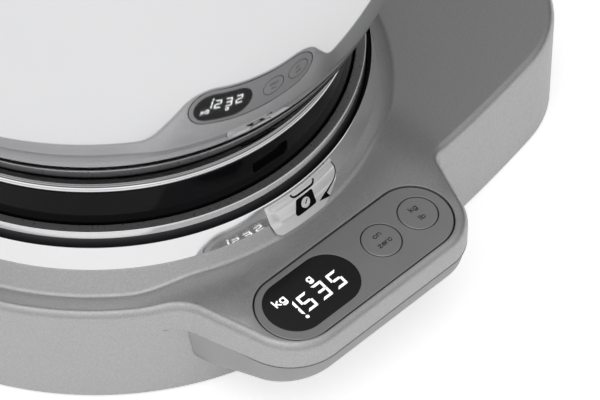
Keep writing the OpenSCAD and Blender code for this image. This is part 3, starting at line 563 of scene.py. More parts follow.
@dataclass(frozen=True)
class Finish:
    """One procedural surface finish.

    Colours are linear. Lengths are in millimetres. A painted dark reflection is painted shade that
    stands in for a dark reflection: it gives the share of the colour at a lower height, and the two
    heights between which it grows to the whole.
    """

    name: str
    slot: str
    colour: Colour
    metallic: float = 0.0
    roughness: float = 0.4
    spread: float = 0.05
    grain: Grain = Grain.MOULD
    grain_size: float = 0.4
    relief: float = 0.01
    mottle: float = 0.06
    mottle_size: float = 12.0
    coat: float = 0.0
    coat_roughness: float = 0.05
    glow: float = 0.0
    specular: float = 0.5
    painted_dark_reflection: Spot | None = None

    def material(self) -> bpy.types.Material:
        """The finish's material, made once."""
        found = bpy.data.materials.get(self.name)
        if found:
            return found
        made = bpy.data.materials.new(self.name)
        made.use_nodes = True
        tree = made.node_tree
        tree.nodes.clear()
        where = add_node(tree, "ShaderNodeTexCoord").outputs["Object"]
        source = self._along(tree, where)
        body = add_node(tree, "ShaderNodeBsdfPrincipled", {
            "Metallic": self.metallic, "Coat Weight": self.coat, "Coat Roughness": self.coat_roughness,
            "Specular IOR Level": self.specular, "Base Color": self._paint(tree, where),
            "Roughness": self._wear(tree, source), "Normal": self._relief(tree, source),
        })
        if self.glow:
            body.inputs["Emission Color"].default_value = (*self.colour, 1.0)
            body.inputs["Emission Strength"].default_value = self.glow
        add_node(tree, "ShaderNodeOutputMaterial", {"Surface": body.outputs["BSDF"]})
        return made

    def _along(self, tree: bpy.types.NodeTree, where: bpy.types.NodeSocket) -> bpy.types.NodeSocket:
        """Coordinates of the fine relief: distance from z and height for polished pieces."""
        if self.grain is not Grain.POLISH:
            return where
        parts = add_node(tree, "ShaderNodeSeparateXYZ", {"Vector": where}).outputs
        flat = add_node(tree, "ShaderNodeCombineXYZ", {"X": parts["X"], "Y": parts["Y"]})
        reach = add_node(tree, "ShaderNodeVectorMath", {0: flat.outputs["Vector"]}, operation="LENGTH")
        return add_node(tree, "ShaderNodeCombineXYZ", {
            "X": reach.outputs["Value"], "Y": parts["Z"]}).outputs["Vector"]

    def _noise(self, tree: bpy.types.NodeTree, source: bpy.types.NodeSocket, size: float,
               detail: float) -> bpy.types.NodeSocket:
        """A noise value with features of the given size in millimetres."""
        return add_node(tree, "ShaderNodeTexNoise", {
            "Vector": source, "Scale": 1.0 / (size * MM), "Detail": detail}).outputs["Fac"]

    def _paint(self, tree: bpy.types.NodeTree, where: bpy.types.NodeSocket) -> bpy.types.NodeSocket:
        """The base colour with its variation, and any painted dark reflection towards a lower height."""
        size = self.grain_size * 1.3 if self.grain is Grain.SPECKLE else self.mottle_size
        low = [max(0.0, c * (1 - self.mottle)) for c in self.colour]
        high = [min(1.0, c * (1 + self.mottle)) for c in self.colour]
        share = remapped(tree, self._noise(tree, where, size, 3.0), NOISE_SPAN, (0.0, 1.0), "LINEAR")
        shown = add_node(tree, "ShaderNodeMix", {"A": (*low, 1.0), "B": (*high, 1.0), "Factor": share},
                         data_type="RGBA").outputs["Result"]
        if not self.painted_dark_reflection:
            return shown
        # Painted dark reflection: the colour is multiplied down towards the lower height, standing in for a
        # dark reflection.
        least, foot, head = self.painted_dark_reflection
        height = add_node(tree, "ShaderNodeSeparateXYZ", {"Vector": where}).outputs["Z"]
        shade = remapped(tree, height, (foot * MM, head * MM), (least, 1.0))
        return add_node(tree, "ShaderNodeMix", {"Factor": 1.0, "A": shown, "B": shade},
                        data_type="RGBA", blend_type="MULTIPLY").outputs["Result"]

    def _wear(self, tree: bpy.types.NodeTree, source: bpy.types.NodeSocket) -> bpy.types.NodeSocket:
        """The roughness with its variation."""
        value = self._noise(tree, source, max(self.grain_size * 4, 1.5), 4.0)
        ends = (max(0.02, self.roughness - self.spread), self.roughness + self.spread)
        return remapped(tree, value, NOISE_SPAN, ends, "LINEAR")

    def _relief(self, tree: bpy.types.NodeTree, source: bpy.types.NodeSocket) -> bpy.types.NodeSocket:
        """The surface's fine relief."""
        value = self._noise(tree, source, self.grain_size, RELIEF_DETAIL[self.grain])
        return add_node(tree, "ShaderNodeBump", {
            "Height": value, "Strength": 1.0, "Distance": self.relief * MM}).outputs["Normal"]


PAINT = Finish("textured_metal_coat", "textured_metallic_paint", (0.50, 0.50, 0.505), 0.75, 0.38, 0.06,
               Grain.SPECKLE, 0.45, 0.022, 0.10)
COVER = Finish("satin_cover_coat", "textured_metallic_paint", (0.40, 0.40, 0.405), 0.6, 0.38, 0.03,
               Grain.MOULD, 0.25, 0.003, 0.03)
PANEL = Finish("satin_panel_coat", "smooth_metallic_plastic", (0.36, 0.36, 0.365), 0.6, 0.35, 0.03,
               Grain.MOULD, 0.2, 0.002, 0.02)
CHROME = Finish("bright_ring_plating", "bright_trim_plastic", (0.88, 0.88, 0.89), 0.85, 0.05, 0.02,
                Grain.POLISH, 0.6, 0.0002, 0.01, 40.0)
PLATFORM_CHROME = Finish("platform_ring_plating", "pale_trim_plastic", (0.86, 0.86, 0.87), 0.6, 0.08, 0.02,
                         Grain.POLISH, 0.6, 0.0002, 0.01, 40.0)
FLANGE = Finish("satin_flange", "pale_trim_plastic", (0.36, 0.36, 0.365), 0.7, 0.30, 0.04,
                Grain.MOULD, 0.3, 0.001, 0.04)
TAB = Finish("index_tab_plating", "smooth_metallic_plastic", (0.86, 0.86, 0.86), 0.45, 0.24, 0.02,
             Grain.MOULD, 0.3, 0.001, 0.02)
# Painted dark reflection: the bowl's colour falls to 0.28 of itself between 106 and 94 mm high, standing in
# for the dark reflection of the shaded base.
STEEL = Finish("polished_bowl_steel", "polished_steel", (0.78, 0.78, 0.79), 1.0, 0.05, 0.02,
               Grain.POLISH, 0.35, 0.00025, 0.012, 60.0, painted_dark_reflection=(0.28, 94.0, 106.0))
BEAD = Finish("polished_bead_steel", "polished_steel", (0.80, 0.80, 0.81), 1.0, 0.06, 0.02,
              Grain.POLISH, 0.35, 0.00025, 0.012, 60.0)
STEEL_INSIDE = Finish("brushed_bowl_inside", "polished_steel", (0.80, 0.80, 0.81), 1.0, 0.22, 0.05,
                      Grain.POLISH, 0.35, 0.001, 0.015, 60.0)
BLACK_GLOSS = Finish("black_gloss_moulding", "gloss_black_plastic", (0.004, 0.004, 0.005), 0.0, 0.10, 0.04,
                     Grain.MOULD, 0.5, 0.0006, 0.2, 30.0, specular=0.1)
WINDOW = Finish("display_window_gloss", "gloss_black_plastic", (0.010, 0.010, 0.011), 0.0, 0.10, 0.02,
                Grain.MOULD, 0.6, 0.0003, 0.1, 20.0, specular=0.4)
RUBBER = Finish("black_rubber", "soft_rubber", (0.008, 0.008, 0.008), 0.0, 0.65, 0.08,
                Grain.MOULD, 0.3, 0.01, 0.2)
DARK = Finish("dark_moulding", "dark_plastic", (0.035, 0.035, 0.038), 0.0, 0.5, 0.06,
              Grain.MOULD, 0.35, 0.02, 0.1)
PRINT = Finish("black_print", "gloss_black_plastic", (0.002, 0.002, 0.002), 0.0, 0.6, 0.04,
               Grain.MOULD, 0.2, 0.001, 0.1, specular=0.08)
LEGEND = Finish("grey_legend_print", "gloss_black_plastic", (0.05, 0.05, 0.052), 0.0, 0.5, 0.05,
                Grain.MOULD, 0.2, 0.001, 0.1)
DIGITS = Finish("lit_digits", "pale_trim_plastic", (0.93, 0.93, 0.93), 0.0, 0.5, 0.05,
                Grain.MOULD, 0.2, 0.001, 0.02, 5.0, glow=0.72)
SCREW = Finish("zinc_screws", "screw_steel", (0.52, 0.52, 0.53), 1.0, 0.30, 0.06,
               Grain.MOULD, 0.4, 0.004, 0.05)
ALLOY = Finish("milled_alloy", "cell_aluminium", (0.62, 0.63, 0.64), 1.0, 0.34, 0.06,
               Grain.MOULD, 0.5, 0.006, 0.05)
CASTING = Finish("cast_bracket", "cast_alloy", (0.40, 0.41, 0.42), 0.9, 0.5, 0.1,
                 Grain.CAST, 1.2, 0.05, 0.12)
BOARD = Finish("green_board", "circuit_board", (0.02, 0.12, 0.05), 0.0, 0.35, 0.05,
               Grain.MOULD, 0.8, 0.01, 0.25, 3.0, 0.3)
CHIPS = Finish("moulded_parts", "component_plastic", (0.02, 0.02, 0.022), 0.0, 0.45, 0.08,
               Grain.MOULD, 0.3, 0.01, 0.15)
CONTACT = Finish("nickel_contacts", "contact_metal", (0.70, 0.66, 0.55), 1.0, 0.28, 0.05,
                 Grain.MOULD, 0.5, 0.003, 0.05)
CELLS = Finish("battery_sleeve", "battery_skin", (0.05, 0.12, 0.22), 0.3, 0.3, 0.04,
               Grain.MOULD, 0.6, 0.003, 0.06, 8.0, 0.4)
CABLE = Finish("flexible_jacket", "cable_jacket", (0.45, 0.45, 0.43), 0.0, 0.55, 0.06,
               Grain.MOULD, 0.5, 0.01, 0.08)

CARRIED_OVER = {
    "base_plate": DARK, "feet": RUBBER,
    "battery_door": DARK, "batteries": CELLS, "battery_contacts": CONTACT, "gap_seal": RUBBER,
    "lcd_module": CHIPS, "display_board": BOARD, "tact_switches": CHIPS, "board_screws": SCREW,
    "ribbon_cable": CABLE, "main_board": BOARD, "board_parts": CHIPS, "load_cell": ALLOY,
    "cell_spacer": ALLOY, "cell_wires": CABLE, "overload_stop": SCREW,
    "platform_bracket": CASTING, "bracket_spacer": ALLOY, "bracket_screws": SCREW,
    "plate_screws": SCREW, "foot_ring_pad": RUBBER,
}


# ---------------------------------------------------------------- shape shared by the sub-assemblies


@dataclass(frozen=True)
class Plan:
    """Plan and heights of the housing. The console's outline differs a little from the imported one."""

    body_r: float = 120.0
    tail_end: float = 165.0
    flank_r: float = 700.0
    rear_r: float = 50.0
    deck_h: float = 45.0
    wall: float = 2.5
    edge_in: float = 3.0
    edge_down: float = 4.0
    table_gap: float = 1.0
    collar_top: float = 52.7
    collar_foot_r: float = 110.7
    collar_head_r: float = 105.0
    bore_r: float = 103.3
    console_front: float = 152.7
    corner_x: Flat = (28.8, 32.6)
    corner_r: Flat = (23.0, 20.0)
    splay: Flat = (15.0, 22.0)
    hollow_r: Flat = (18.0, 9.0)
    cover_tuck: float = 3.0
    cover_root_y: float = 95.0
    tilt: float = 5.5
    rise: float = 3.0
    tilt_y: float = 112.0
    tilt_ease: float = 3.0
    cover_low: float = 14.0
    cover_rise: float = 9.0
    ramp: Flat = (45.0, 70.0)
    seam_h: float = 33.6
    panel_y: float = 133.3

    @property
    def flank_y(self) -> float:
        """Distance of the flank arcs' centres from the axis plane."""
        return self.flank_r - self.body_r

    @property
    def rear(self) -> Flat:
        """Centre of the far rear corner."""
        x = self.tail_end - self.rear_r
        return x, math.sqrt((self.flank_r - self.rear_r) ** 2 - x * x) - self.flank_y

    @property
    def flank_turn(self) -> float:
        """Angle over which a flank arc runs."""
        return math.degrees(math.asin(self.rear[0] / (self.flank_r - self.rear_r)))

    def touch(self, side: int) -> tuple[Flat, Flat]:
        """The hollow curve between the body and one side of the console.

        Args:
            side: -1 at the round end and 1 at the flank.

        Returns:
            Its centre and the centre of the body arc it touches.
        """
        k = 0 if side < 0 else 1
        turn = math.radians(self.splay[k])
        n = Vector((side * math.cos(turn), -math.sin(turn)))
        w = Vector((side * math.sin(turn), math.cos(turn)))
        small = self.hollow_r[k]
        home = Vector((0.0, 0.0)) if side < 0 else Vector((0.0, self.flank_y))
        big = self.body_r if side < 0 else self.flank_r
        q = Vector(self.corner(side)) + (self.corner_r[k] + small) * n - home
        b = q.dot(w)
        middle = home + q + (-b - math.sqrt(b * b - q.dot(q) + (big + small) ** 2)) * w
        return (middle.x, middle.y), (home.x, home.y)

    def corner(self, side: int) -> Flat:
        """Centre of one of the console's front corners."""
        k = 0 if side < 0 else 1
        return side * self.corner_x[k], self.corner_r[k] - self.console_front

    def touch_angle(self, side: int) -> float:
        """Angle of the touching point about the body arc's centre."""
        middle, home = self.touch(side)
        angle = math.degrees(math.atan2(middle[1] - home[1], middle[0] - home[0]))
        return angle % 360.0

    def body_part(self, d: float) -> list[Flat]:
        """Plan of the body from the flank's touching point round the tail to the round end's."""
        rx, ry = self.rear
        turn = self.flank_turn
        start = self.touch_angle(1)
        return (
            arc((0, self.flank_y), self.flank_r - d, start, 270 + turn, 10)
            + arc((rx, -ry), self.rear_r - d, turn - 90, 0, 18)[1:]
            + [(self.tail_end - d, y) for y in np.linspace(-ry, ry, 14)[1:-1]]
            + arc((rx, ry), self.rear_r - d, 0, 90 - turn, 18)
            + arc((0, -self.flank_y), self.flank_r - d, 90 - turn, 90, 16)[1:]
            + arc((0, 0), self.body_r - d, 90, self.touch_angle(-1), 84)[1:]
        )

    def console_part(self, d: float) -> list[Flat]:
        """Plan of the console between the two touching points, both left out."""
        left, left_home = self.touch(-1)
        right, right_home = self.touch(1)
        a0 = math.degrees(math.atan2(left_home[1] - left[1], left_home[0] - left[0]))
        b0 = math.degrees(math.atan2(right_home[1] - right[1], right_home[0] - right[0]))
        return (
            arc(left, self.hollow_r[0] + d, a0, self.splay[0], 14)[1:]
            + self._front(d, 0.0)
            + arc(right, self.hollow_r[1] + d, 180 - self.splay[1], b0, 14)[:-1]
        )

    def _front(self, d: float, tuck: float) -> list[Flat]:
        """The two front corners, set in by d, and the straight front between them.

        Args:
            d: inset of the outline.
            tuck: how much less than the console's sides the corners turn, in degrees.

        Returns:
            Points from the left side's end to the right side's.
        """
        left, right = self.corner(-1), self.corner(1)
        front = [(x, -(self.console_front - d)) for x in np.linspace(left[0], right[0], 20)[1:-1]]
        return (
            arc(left, self.corner_r[0] - d, 180 + self.splay[0] - tuck, 270, 16)
            + front
            + arc(right, self.corner_r[1] - d, -90, tuck - self.splay[1], 16)
        )

    def cover_part(self, d: float) -> list[Flat]:
        """Plan of the console's cover, its straight sides run on into the body."""
        line = self._front(d, self.cover_tuck)
        ends = []
        for (x, y), side, splay in zip((line[0], line[-1]), (-1, 1), self.splay):
            slope = math.tan(math.radians(splay - self.cover_tuck))
            ends.append((x - side * (self.cover_root_y + y) * slope, -self.cover_root_y))
        return [ends[0]] + line + [ends[1]]

    def under_part(self, d: float) -> list[Flat]:
        """Plan of the body under the console between the two touching points, both left out."""
        return (
            arc((0, 0), self.body_r - d, self.touch_angle(-1), 270, 24)[1:]
            + arc((0, self.flank_y), self.flank_r - d, 270, self.touch_angle(1), 20)[1:-1]
        )

    def top(self, x: float, y: float) -> float:
        """Height of the deck and console top at a point of the plan."""
        if y > 0:
            return self.deck_h
        share = 1 - smoothstep((abs(x) - self.ramp[0]) / (self.ramp[1] - self.ramp[0]))
        u = y + self.tilt_y
        fall = (u - math.hypot(u, self.tilt_ease)) / 2
        return self.deck_h + share * (self.rise + math.tan(math.radians(self.tilt)) * fall)

    @property
    def panel(self) -> Matrix:
        """Place of the sloping panel, about its middle."""
        slope = math.tan(math.radians(self.tilt))
        z = self.deck_h + self.rise + slope * (self.tilt_y - self.panel_y)
        return Matrix.Translation((0, -self.panel_y, z)) @ Matrix.Rotation(math.radians(self.tilt), 4, "X")

    def cover_under(self, y: float) -> float:
        """Height of the console cover's underside."""
        k = min(1.0, max(0.0, (-y - self.tilt_y) / (self.console_front - self.tilt_y)))
        return self.cover_low + self.cover_rise * k


@dataclass(frozen=True)
class Housing:
    """Coated housing: deck, collar, console block and skirt in one shell."""

    plan: Plan
    seam_round: float = 0.45
    foot_round: float = 0.4
    collar_fillet: float = 2.5
    recess_r: float = 15.5
    recess_half: float = 30.6
    recess_shift: Flat = (0.25, -0.75)
    recess_depth: float = 4.2
    turns: int = 288

    def _collar_line(self, a: float) -> list[Spot]:
        """Section of the collar's foot fillet at one angle, deck first."""
        plan = self.plan
        lean = math.atan2(plan.collar_foot_r - plan.collar_head_r, plan.collar_top - plan.deck_h)
        foot = plan.deck_h
        size = self.collar_fillet
        for _ in range(4):
            zc = foot + size
            rc = plan.collar_foot_r - math.tan(lean) * (zc - plan.deck_h) + size / math.cos(lean)
            foot = plan.top(rc * math.cos(a), rc * math.sin(a))
        out = []
        for t in np.linspace(270.0, 180.0 + math.degrees(lean), 9):
            r = rc + size * math.cos(math.radians(t))
            z = foot + size + size * math.sin(math.radians(t))
            out.append((r * math.cos(a), r * math.sin(a), z))
        r, z = r - 3 * SUPPORT * math.sin(lean), z + 3 * SUPPORT * math.cos(lean)
        return out + [(r * math.cos(a), r * math.sin(a), z)]

    def shell(self) -> Shell:
        """The whole shell."""
        plan = self.plan
        out = Shell()
        body, console = plan.body_part, plan.console_part
        lip = plan.edge_in + SUPPORT
        deck_rows = [out.level(body(lip) + console(lip), plan.top)]
        for d, drop in rounding(plan.edge_in, plan.edge_down, np.linspace(90, 0, 13)):
            deck_rows.append(out.ring([(x, y, plan.top(x, y) - drop) for x, y in body(d) + console(d)]))
        for d, lift in rounding(self.seam_round, self.seam_round, QUARTER):
            deck_rows.append(out.level(body(0.0) + console(d), plan.seam_h + lift))
        out.skin(deck_rows)
        count = len(body(0.0))
        low = deck_rows[-1][:count]
        under = plan.under_part
        seam = low + out.level(under(0.0), plan.seam_h)
        rows = [seam]
        for d, lift in rounding(self.foot_round, self.foot_round, QUARTER):
            rows.append(out.level(body(d) + under(d), plan.table_gap + lift))
        for z in (plan.table_gap, plan.deck_h - plan.wall):
            rows.append(out.level(body(plan.wall) + under(plan.wall), z))
        out.skin(rows)
        out.fill([deck_rows[-1][count - 1:] + deck_rows[-1][:1] + seam[count:][::-1]], plan.seam_h)
        self._collar(out, deck_rows[0], rows[-1])
        return out

    def _collar(self, out: Shell, deck: list[int], inner: list[int]) -> None:
        """Adds the deck's face, the recess, the collar and the bore.

        Args:
            out: shell to add to.
            deck: the deck's outer edge.
            inner: upper edge of the inside wall.
        """
        plan = self.plan
        lines = [self._collar_line(a) for a in np.radians(np.arange(self.turns) * 360.0 / self.turns)]
        rows = [out.ring([line[k] for line in lines]) for k in range(len(lines[0]))]
        head = [(plan.collar_head_r, plan.collar_top), (plan.bore_r, plan.collar_top),
                (plan.bore_r, plan.deck_h - plan.wall)]
        edge = rounded([(plan.collar_foot_r, plan.deck_h, 0), (*head[0], 0.5), (*head[1], 0.3),
                        (*head[2], 0)])[1:]
        rows += [out.turn(r, z, self.turns) for r, z in edge]
        out.skin(rows)
        out.fill([inner, rows[-1]], plan.deck_h - plan.wall)
        place = plan.panel
        recess = []
        for grow, sink in [(0.30, 0.0), (0.25, 0.0), (0.07, 0.07), (0.0, 0.25), (0.0, self.recess_depth)]:
            spots = [place @ Vector((u + self.recess_shift[0], v + self.recess_shift[1], -sink))
                     for u, v in pill(self.recess_half, self.recess_r + grow)]
            if sink == 0.0:
                spots = [Vector((p.x, p.y, plan.top(p.x, p.y))) for p in spots]
            recess.append(out.ring([tuple(p) for p in spots]))
        out.skin(recess)
        floor = place @ Vector((0, 0, -self.recess_depth))
        slope = math.tan(math.radians(plan.tilt))
        out.fill([recess[-1]], lambda x, y: floor.z + slope * (y - floor.y))
        out.fill([deck, rows[0], recess[0]], plan.top, 5.0)

    def build(self) -> None:
        """Makes the housing."""
        piece = self.shell().piece("housing_skin", PAINT, 50.0)
        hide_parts("housing")
        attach(piece, "base")


@dataclass(frozen=True)
class ConsoleCover:
    """Lower cover of the console, under the seam."""

    plan: Plan
    top: float = 33.25
    edge_round: float = 0.3
    lower_round: float = 6.0
    draft: float = 1.4
    clear: float = 0.3
    screw: Flat = (46.0, -124.0)
    screw_hole_r: float = 2.8
    screw_r: float = 1.65
    screw_seat: float = 29.0

    def _cut(self, d: float, count: int = 150, back: int = 60, fine: int = 4000) -> list[Flat]:
        """Plan of the cover, set in by d, with its back against the body.

        Args:
            d: inset of the outline.
            count: points along the console's side.
            back: points along the body.
            fine: points among which the ends of the side are looked for.

        Returns:
            The closed outline.
        """
        plan = self.plan
        spots = spaced(np.array(plan.cover_part(d)), fine)
        left = np.hypot(spots[:, 0], spots[:, 1]) - (plan.body_r + self.clear)
        right = np.hypot(spots[:, 0], spots[:, 1] - plan.flank_y) - (plan.flank_r + self.clear)
        clear = np.where(spots[:, 0] < 0, left, right) > 0
        keep = spots[np.argmax(clear):len(spots) - np.argmax(clear[::-1])]
        side = [(float(x), float(y)) for x, y in spaced(keep, count)]
        a0 = math.degrees(math.atan2(side[0][1], side[0][0])) % 360
        a1 = math.degrees(math.atan2(side[-1][1] - plan.flank_y, side[-1][0])) % 360
        closing = (
            arc((0, plan.flank_y), plan.flank_r + self.clear, a1, 270, back // 2)[1:]
            + arc((0, 0), plan.body_r + self.clear, 270, a0, back // 2)[1:-1]
        )
        return side + closing

    def build(self) -> None:
        """Makes the cover."""
        plan = self.plan
        out = Shell()
        rows = []
        for d, lift in rounding(self.lower_round, self.lower_round, np.linspace(90, 0, 9)):
            rows.append(out.ring([(x, y, plan.cover_under(y) + lift) for x, y in self._cut(d + self.draft)]))
        for d, drop in rounding(self.edge_round, self.edge_round, QUARTER):
            rows.append(out.level(self._cut(d), self.top - drop))
        out.skin(rows)
        out.fill([rows[-1]], self.top)
        out.fill([rows[0]], lambda x, y: plan.cover_under(y), 6.0)
        piece = out.piece("console_cover_skin", COVER, 50.0)
        rods = []
        for x in (-self.screw[0], self.screw[0]):
            rods.append(((x, self.screw[1]), self.screw_hole_r, 0.0, self.screw_seat))
            rods.append(((x, self.screw[1]), self.screw_r, 0.0, self.top + 1.0))
        drill(piece, rods, 50.0)
        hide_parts("console_cover")
        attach(piece, "base")


@dataclass(frozen=True)
class TrimRing:
    """Plated ring round the platform, on the collar."""

    foot_r: float = 105.0
    top_r: float = 102.1
    foot_z: float = 52.7
    top_z: float = 62.0
    thick: float = 1.0
    leg: float = 12.0
    bow: float = 0.06
    turns: int = 360

    def face(self, share: float, lift: float = 0.0) -> Flat:
        """A point of the ring's face, at a share of the way up and a lift over it."""
        flare, rise = self.foot_r - self.top_r, self.top_z - self.foot_z
        slope = math.hypot(flare, rise)
        return (self.foot_r - flare * share + lift * rise / slope,
                self.foot_z + rise * share + lift * flare / slope)

    def build(self) -> None:
        """Makes the ring."""
        inner = self.top_r + self.thick
        joint = (self.face(0.0, -self.thick)[0] - inner) / (self.foot_r - self.top_r)
        hollow = [(*self.face(s, -4 * self.bow * s * (1 - s)), 0) for s in np.linspace(0.08, 0.9, 12)]
        section = rounded([
            (*self.face(0.0), 0.2), *hollow,
            (*self.face(1.0), 0.45),
            (self.top_r, self.top_z - self.leg, 0.2),
            (inner, self.top_z - self.leg, 0.2),
            (*self.face(joint, -self.thick), 0.3),
            (self.foot_r - 1.1 * self.thick, self.foot_z, 0),
        ])
        piece = lathe(section, count=self.turns).piece("trim_ring_skin", CHROME, 60.0)
        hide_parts("trim_ring")
        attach(piece, "base")


@dataclass(frozen=True)
class Platform:
    """Weighing platform: black plate with its bright rim."""

    rim_r: float = 100.0
    seat_r: float = 96.1
    wall: float = 1.1
    top: float = 67.3
    flange: float = 1.0
    lip: float = 3.1
    low: float = 53.6
    seat: float = 61.0
    floor: float = 58.6
    hub_r: float = 14.0
    hub_top: float = 63.2
    turns: int = 360

    def build(self) -> None:
        """Makes the plate and its rim; the rim's outer wall below the lip is painted dark as shade."""
        inner = self.rim_r - self.wall
        rim = lathe(rounded([
            (inner, self.low, 0.2), (self.rim_r, self.low, 0.3), (self.rim_r, self.top - self.lip, 0),
            (self.rim_r, self.top, 0.5),
            (self.seat_r, self.top, 0.45), (self.seat_r, self.top - self.flange, 0.2),
            (inner, self.top - self.flange, 0),
        ]), count=self.turns).piece("platform_rim", PLATFORM_CHROME, 60.0)
        rim.data.materials.append(FLANGE.material())
        rim.data.materials.append(DARK.material())
        for face in rim.data.polygons:
            reach = math.hypot(face.center.x, face.center.y) / MM
            if face.normal.z > 0.85 and reach < self.rim_r - 0.3:
                face.material_index = 1
            # Painted shade: the outer wall below the lip takes the dark moulding, standing in for shade in
            # the gap round the rim.
            elif face.center.z / MM < self.top - self.lip:
                face.material_index = 2
        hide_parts("platform_ring")
        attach(rim, "platform")
        edge = inner - 0.1
        plate_top = self.top - self.flange - 0.1
        plate_body = lathe([(0, self.floor)] + rounded([
            (self.seat_r - 6, self.floor, 0.4), (self.seat_r - 1, self.floor - 1.5, 0.4),
            (self.seat_r - 1, self.low, 0.2), (edge, self.low, 0.2), (edge, plate_top, 0.2),
            (self.seat_r, plate_top, 0.3), (self.seat_r, self.seat, 0.6),
            (self.hub_r, self.seat, 0.6), (self.hub_r, self.hub_top, 0.5),
        ]) + [(0, self.hub_top)], closed=False).piece("platform_plate_skin", BLACK_GLOSS, 50.0)
        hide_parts("platform_plate")
        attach(plate_body, "platform")


@dataclass(frozen=True)
class Bowl:
    """Polished bowl with its black foot."""

    start_z: float = 85.0
    floor_z: float = 66.5
    rim_z: float = 233.4
    start_r: float = 94.7
    lean: float = 28.7
    belly_h: float = 125.0
    sheet: float = 1.0
    roll_r: float = 2.6
    bead_r: float = 1.2
    foot_r: float = 95.6
    foot_top: float = 83.4
    foot_low: float = 62.2
    foot_inner: float = 81.6
    pocket_count: int = 4
    pocket_size: Flat = (16.6, 6.4)
    pocket_low: float = 72.5
    pocket_depth: float = 2.2
    pocket_turn: float = -92.6
    cup_gap: float = 0.3
    foot_chamfer: float = 0.5
    turns: int = 300
    foot_turns: int = 288

    def wall_r(self, h: float) -> float:
        """Radius of the wall at a height above its start."""
        slope = math.tan(math.radians(self.lean))
        k = min(h, self.belly_h)
        return self.start_r + slope * k - slope / (2 * self.belly_h) * k * k

    @property
    def bend(self) -> tuple[float, float]:
        """Radius of the curve between floor and wall, and its distance from the axis."""
        lean = math.radians(self.lean)
        size = (self.start_z - self.floor_z) / (1 - math.sin(lean))
        return size, self.start_r - size * math.cos(lean)

    def line(self, t: float) -> list[Flat]:
        """Section of the bowl, set in by t, from the floor's middle to the rim."""
        size, x = self.bend
        out = [(0.0, self.floor_z + t), (x * 0.5, self.floor_z + t)]
        out += arc((x, self.floor_z + size), size - t, -90, -self.lean, 24)
        tall = self.rim_z - self.start_z
        return out + [(self.wall_r(tall * i / 72) - t, self.start_z + tall * i / 72) for i in range(1, 73)]

    def _bowl(self) -> None:
        """Makes the bowl: wall, rolled rim and bead."""
        wall = lathe(self.line(0.0) + self.line(self.sheet)[::-1], closed=False, count=self.turns)
        roll = circle(self.roll_r - 0.05, 24, (self.wall_r(150.0) + self.roll_r - self.sheet,
                                               self.rim_z - self.roll_r + 0.6))
        bead_z = self.foot_top + self.bead_r + 0.05
        bead = circle(self.bead_r, 20, (self.foot_r - 0.7, bead_z))
        rounds = [lathe(section, count=self.turns) for section in (roll, bead)]
        piece = joined([wall, *rounds]).piece("bowl_skin", STEEL, 60.0)
        piece.data.materials.append(STEEL_INSIDE.material())
        piece.data.materials.append(BEAD.material())
        for face in piece.data.polygons:
            c = face.center / MM
            out = face.normal.x * c.x + face.normal.y * c.y
            inner = math.hypot(c.x, c.y) < self.wall_r(max(0.0, c.z - self.start_z)) - 0.5 * self.sheet
            if c.z > self.floor_z + 0.5 and inner and (out < 0 or face.normal.z > 0.9):
                face.material_index = 1
            elif abs(c.z - bead_z) < self.bead_r + 0.05 and math.hypot(c.x, c.y) > self.foot_r - 2:
                face.material_index = 2
        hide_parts("bowl")
        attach(piece, "bowl")

    def _foot(self) -> None:
        """Makes the foot with its pockets."""
        size, x = self.bend
        gap = self.cup_gap
        cup = [(x + (size + gap) * math.cos(math.radians(a)),
                self.floor_z + size + (size + gap) * math.sin(math.radians(a)))
               for a in np.linspace(-62, -self.lean - 4, 14)]
        inner = self.foot_inner
        upper = rounded([(self.foot_r, self.foot_top - 2, 0), (self.foot_r, self.foot_top, self.foot_chamfer),
                         (cup[-1][0], self.foot_top, 0)])[1:]
        lower = [(inner, cup[0][1]), (inner, self.foot_low)]
        lower += rounded([(inner, self.foot_low, 0), (self.foot_r, self.foot_low, 0.4),
                          (self.foot_r, self.foot_low + 3, 0)])[1:-1]
        body = lathe(upper + cup[::-1] + lower, closed=False, count=self.foot_turns)
        wall = Shell()
        low, high = lower[-1][1], upper[0][1]
        round_way = [math.tau * i / self.foot_turns for i in range(self.foot_turns + 1)]
        heights = np.linspace(low, high, 9)
        edge = [(a, low) for a in round_way] + [(math.tau, z) for z in heights[1:-1]]
        edge += [(a, high) for a in round_way[::-1]] + [(0.0, z) for z in heights[-2:0:-1]]
        outline = wall.ring([(a * self.foot_r, z, 0) for a, z in edge])
        loops = [outline]
        for i in range(self.pocket_count):
            middle = math.radians(self.pocket_turn + 360.0 * i / self.pocket_count) % math.tau
            loops.append(self._pocket(wall, middle * self.foot_r))
        wall.fill(loops, 0.0, 3.0)
        wall.mapped(lambda u, z, lift: (
            (self.foot_r + lift) * math.cos(u / self.foot_r),
            (self.foot_r + lift) * math.sin(u / self.foot_r), z))
        piece = joined([body, wall]).piece("bowl_foot_skin", BLACK_GLOSS, 50.0)
        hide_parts("bowl_foot")
        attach(piece, "bowl")

    def _pocket(self, wall: Shell, u: float) -> list[int]:
        """Adds a pocket to the unrolled wall.

        Args:
            wall: unrolled wall, with its third direction outwards.
            u: middle of the pocket along the wall.

        Returns:
            Its outline in the wall's face.
        """
        w, h = self.pocket_size
        mid = self.pocket_low + h / 2
        rows = []
        for inset, depth in [(-0.35, 0.0), (-0.3, 0.0), (-0.09, 0.09), (0.0, 0.3),
                             (0.1, self.pocket_depth)]:
            a, b = w / 2 - inset, h / 2 - inset
            flat = rounded([(-a, -b, 1.2), (a, -b, 1.2), (a, b, 1.2), (-a, b, 1.2)], 6)
            rows.append(wall.ring([(u + x, mid + y, -depth) for x, y in flat]))
        wall.skin(rows)
        wall.fill([rows[-1]], -self.pocket_depth, 2.0)
        return rows[0]

    def build(self) -> None:
        """Makes the bowl and the foot."""
        self._bowl()
        self._foot()


BOWL_OF_G = [(0.88 - 0.44 + 0.44 * math.cos(math.radians(t)), 0.5 + 0.5 * math.sin(math.radians(t)))
             for t in range(0, 361, 15)]

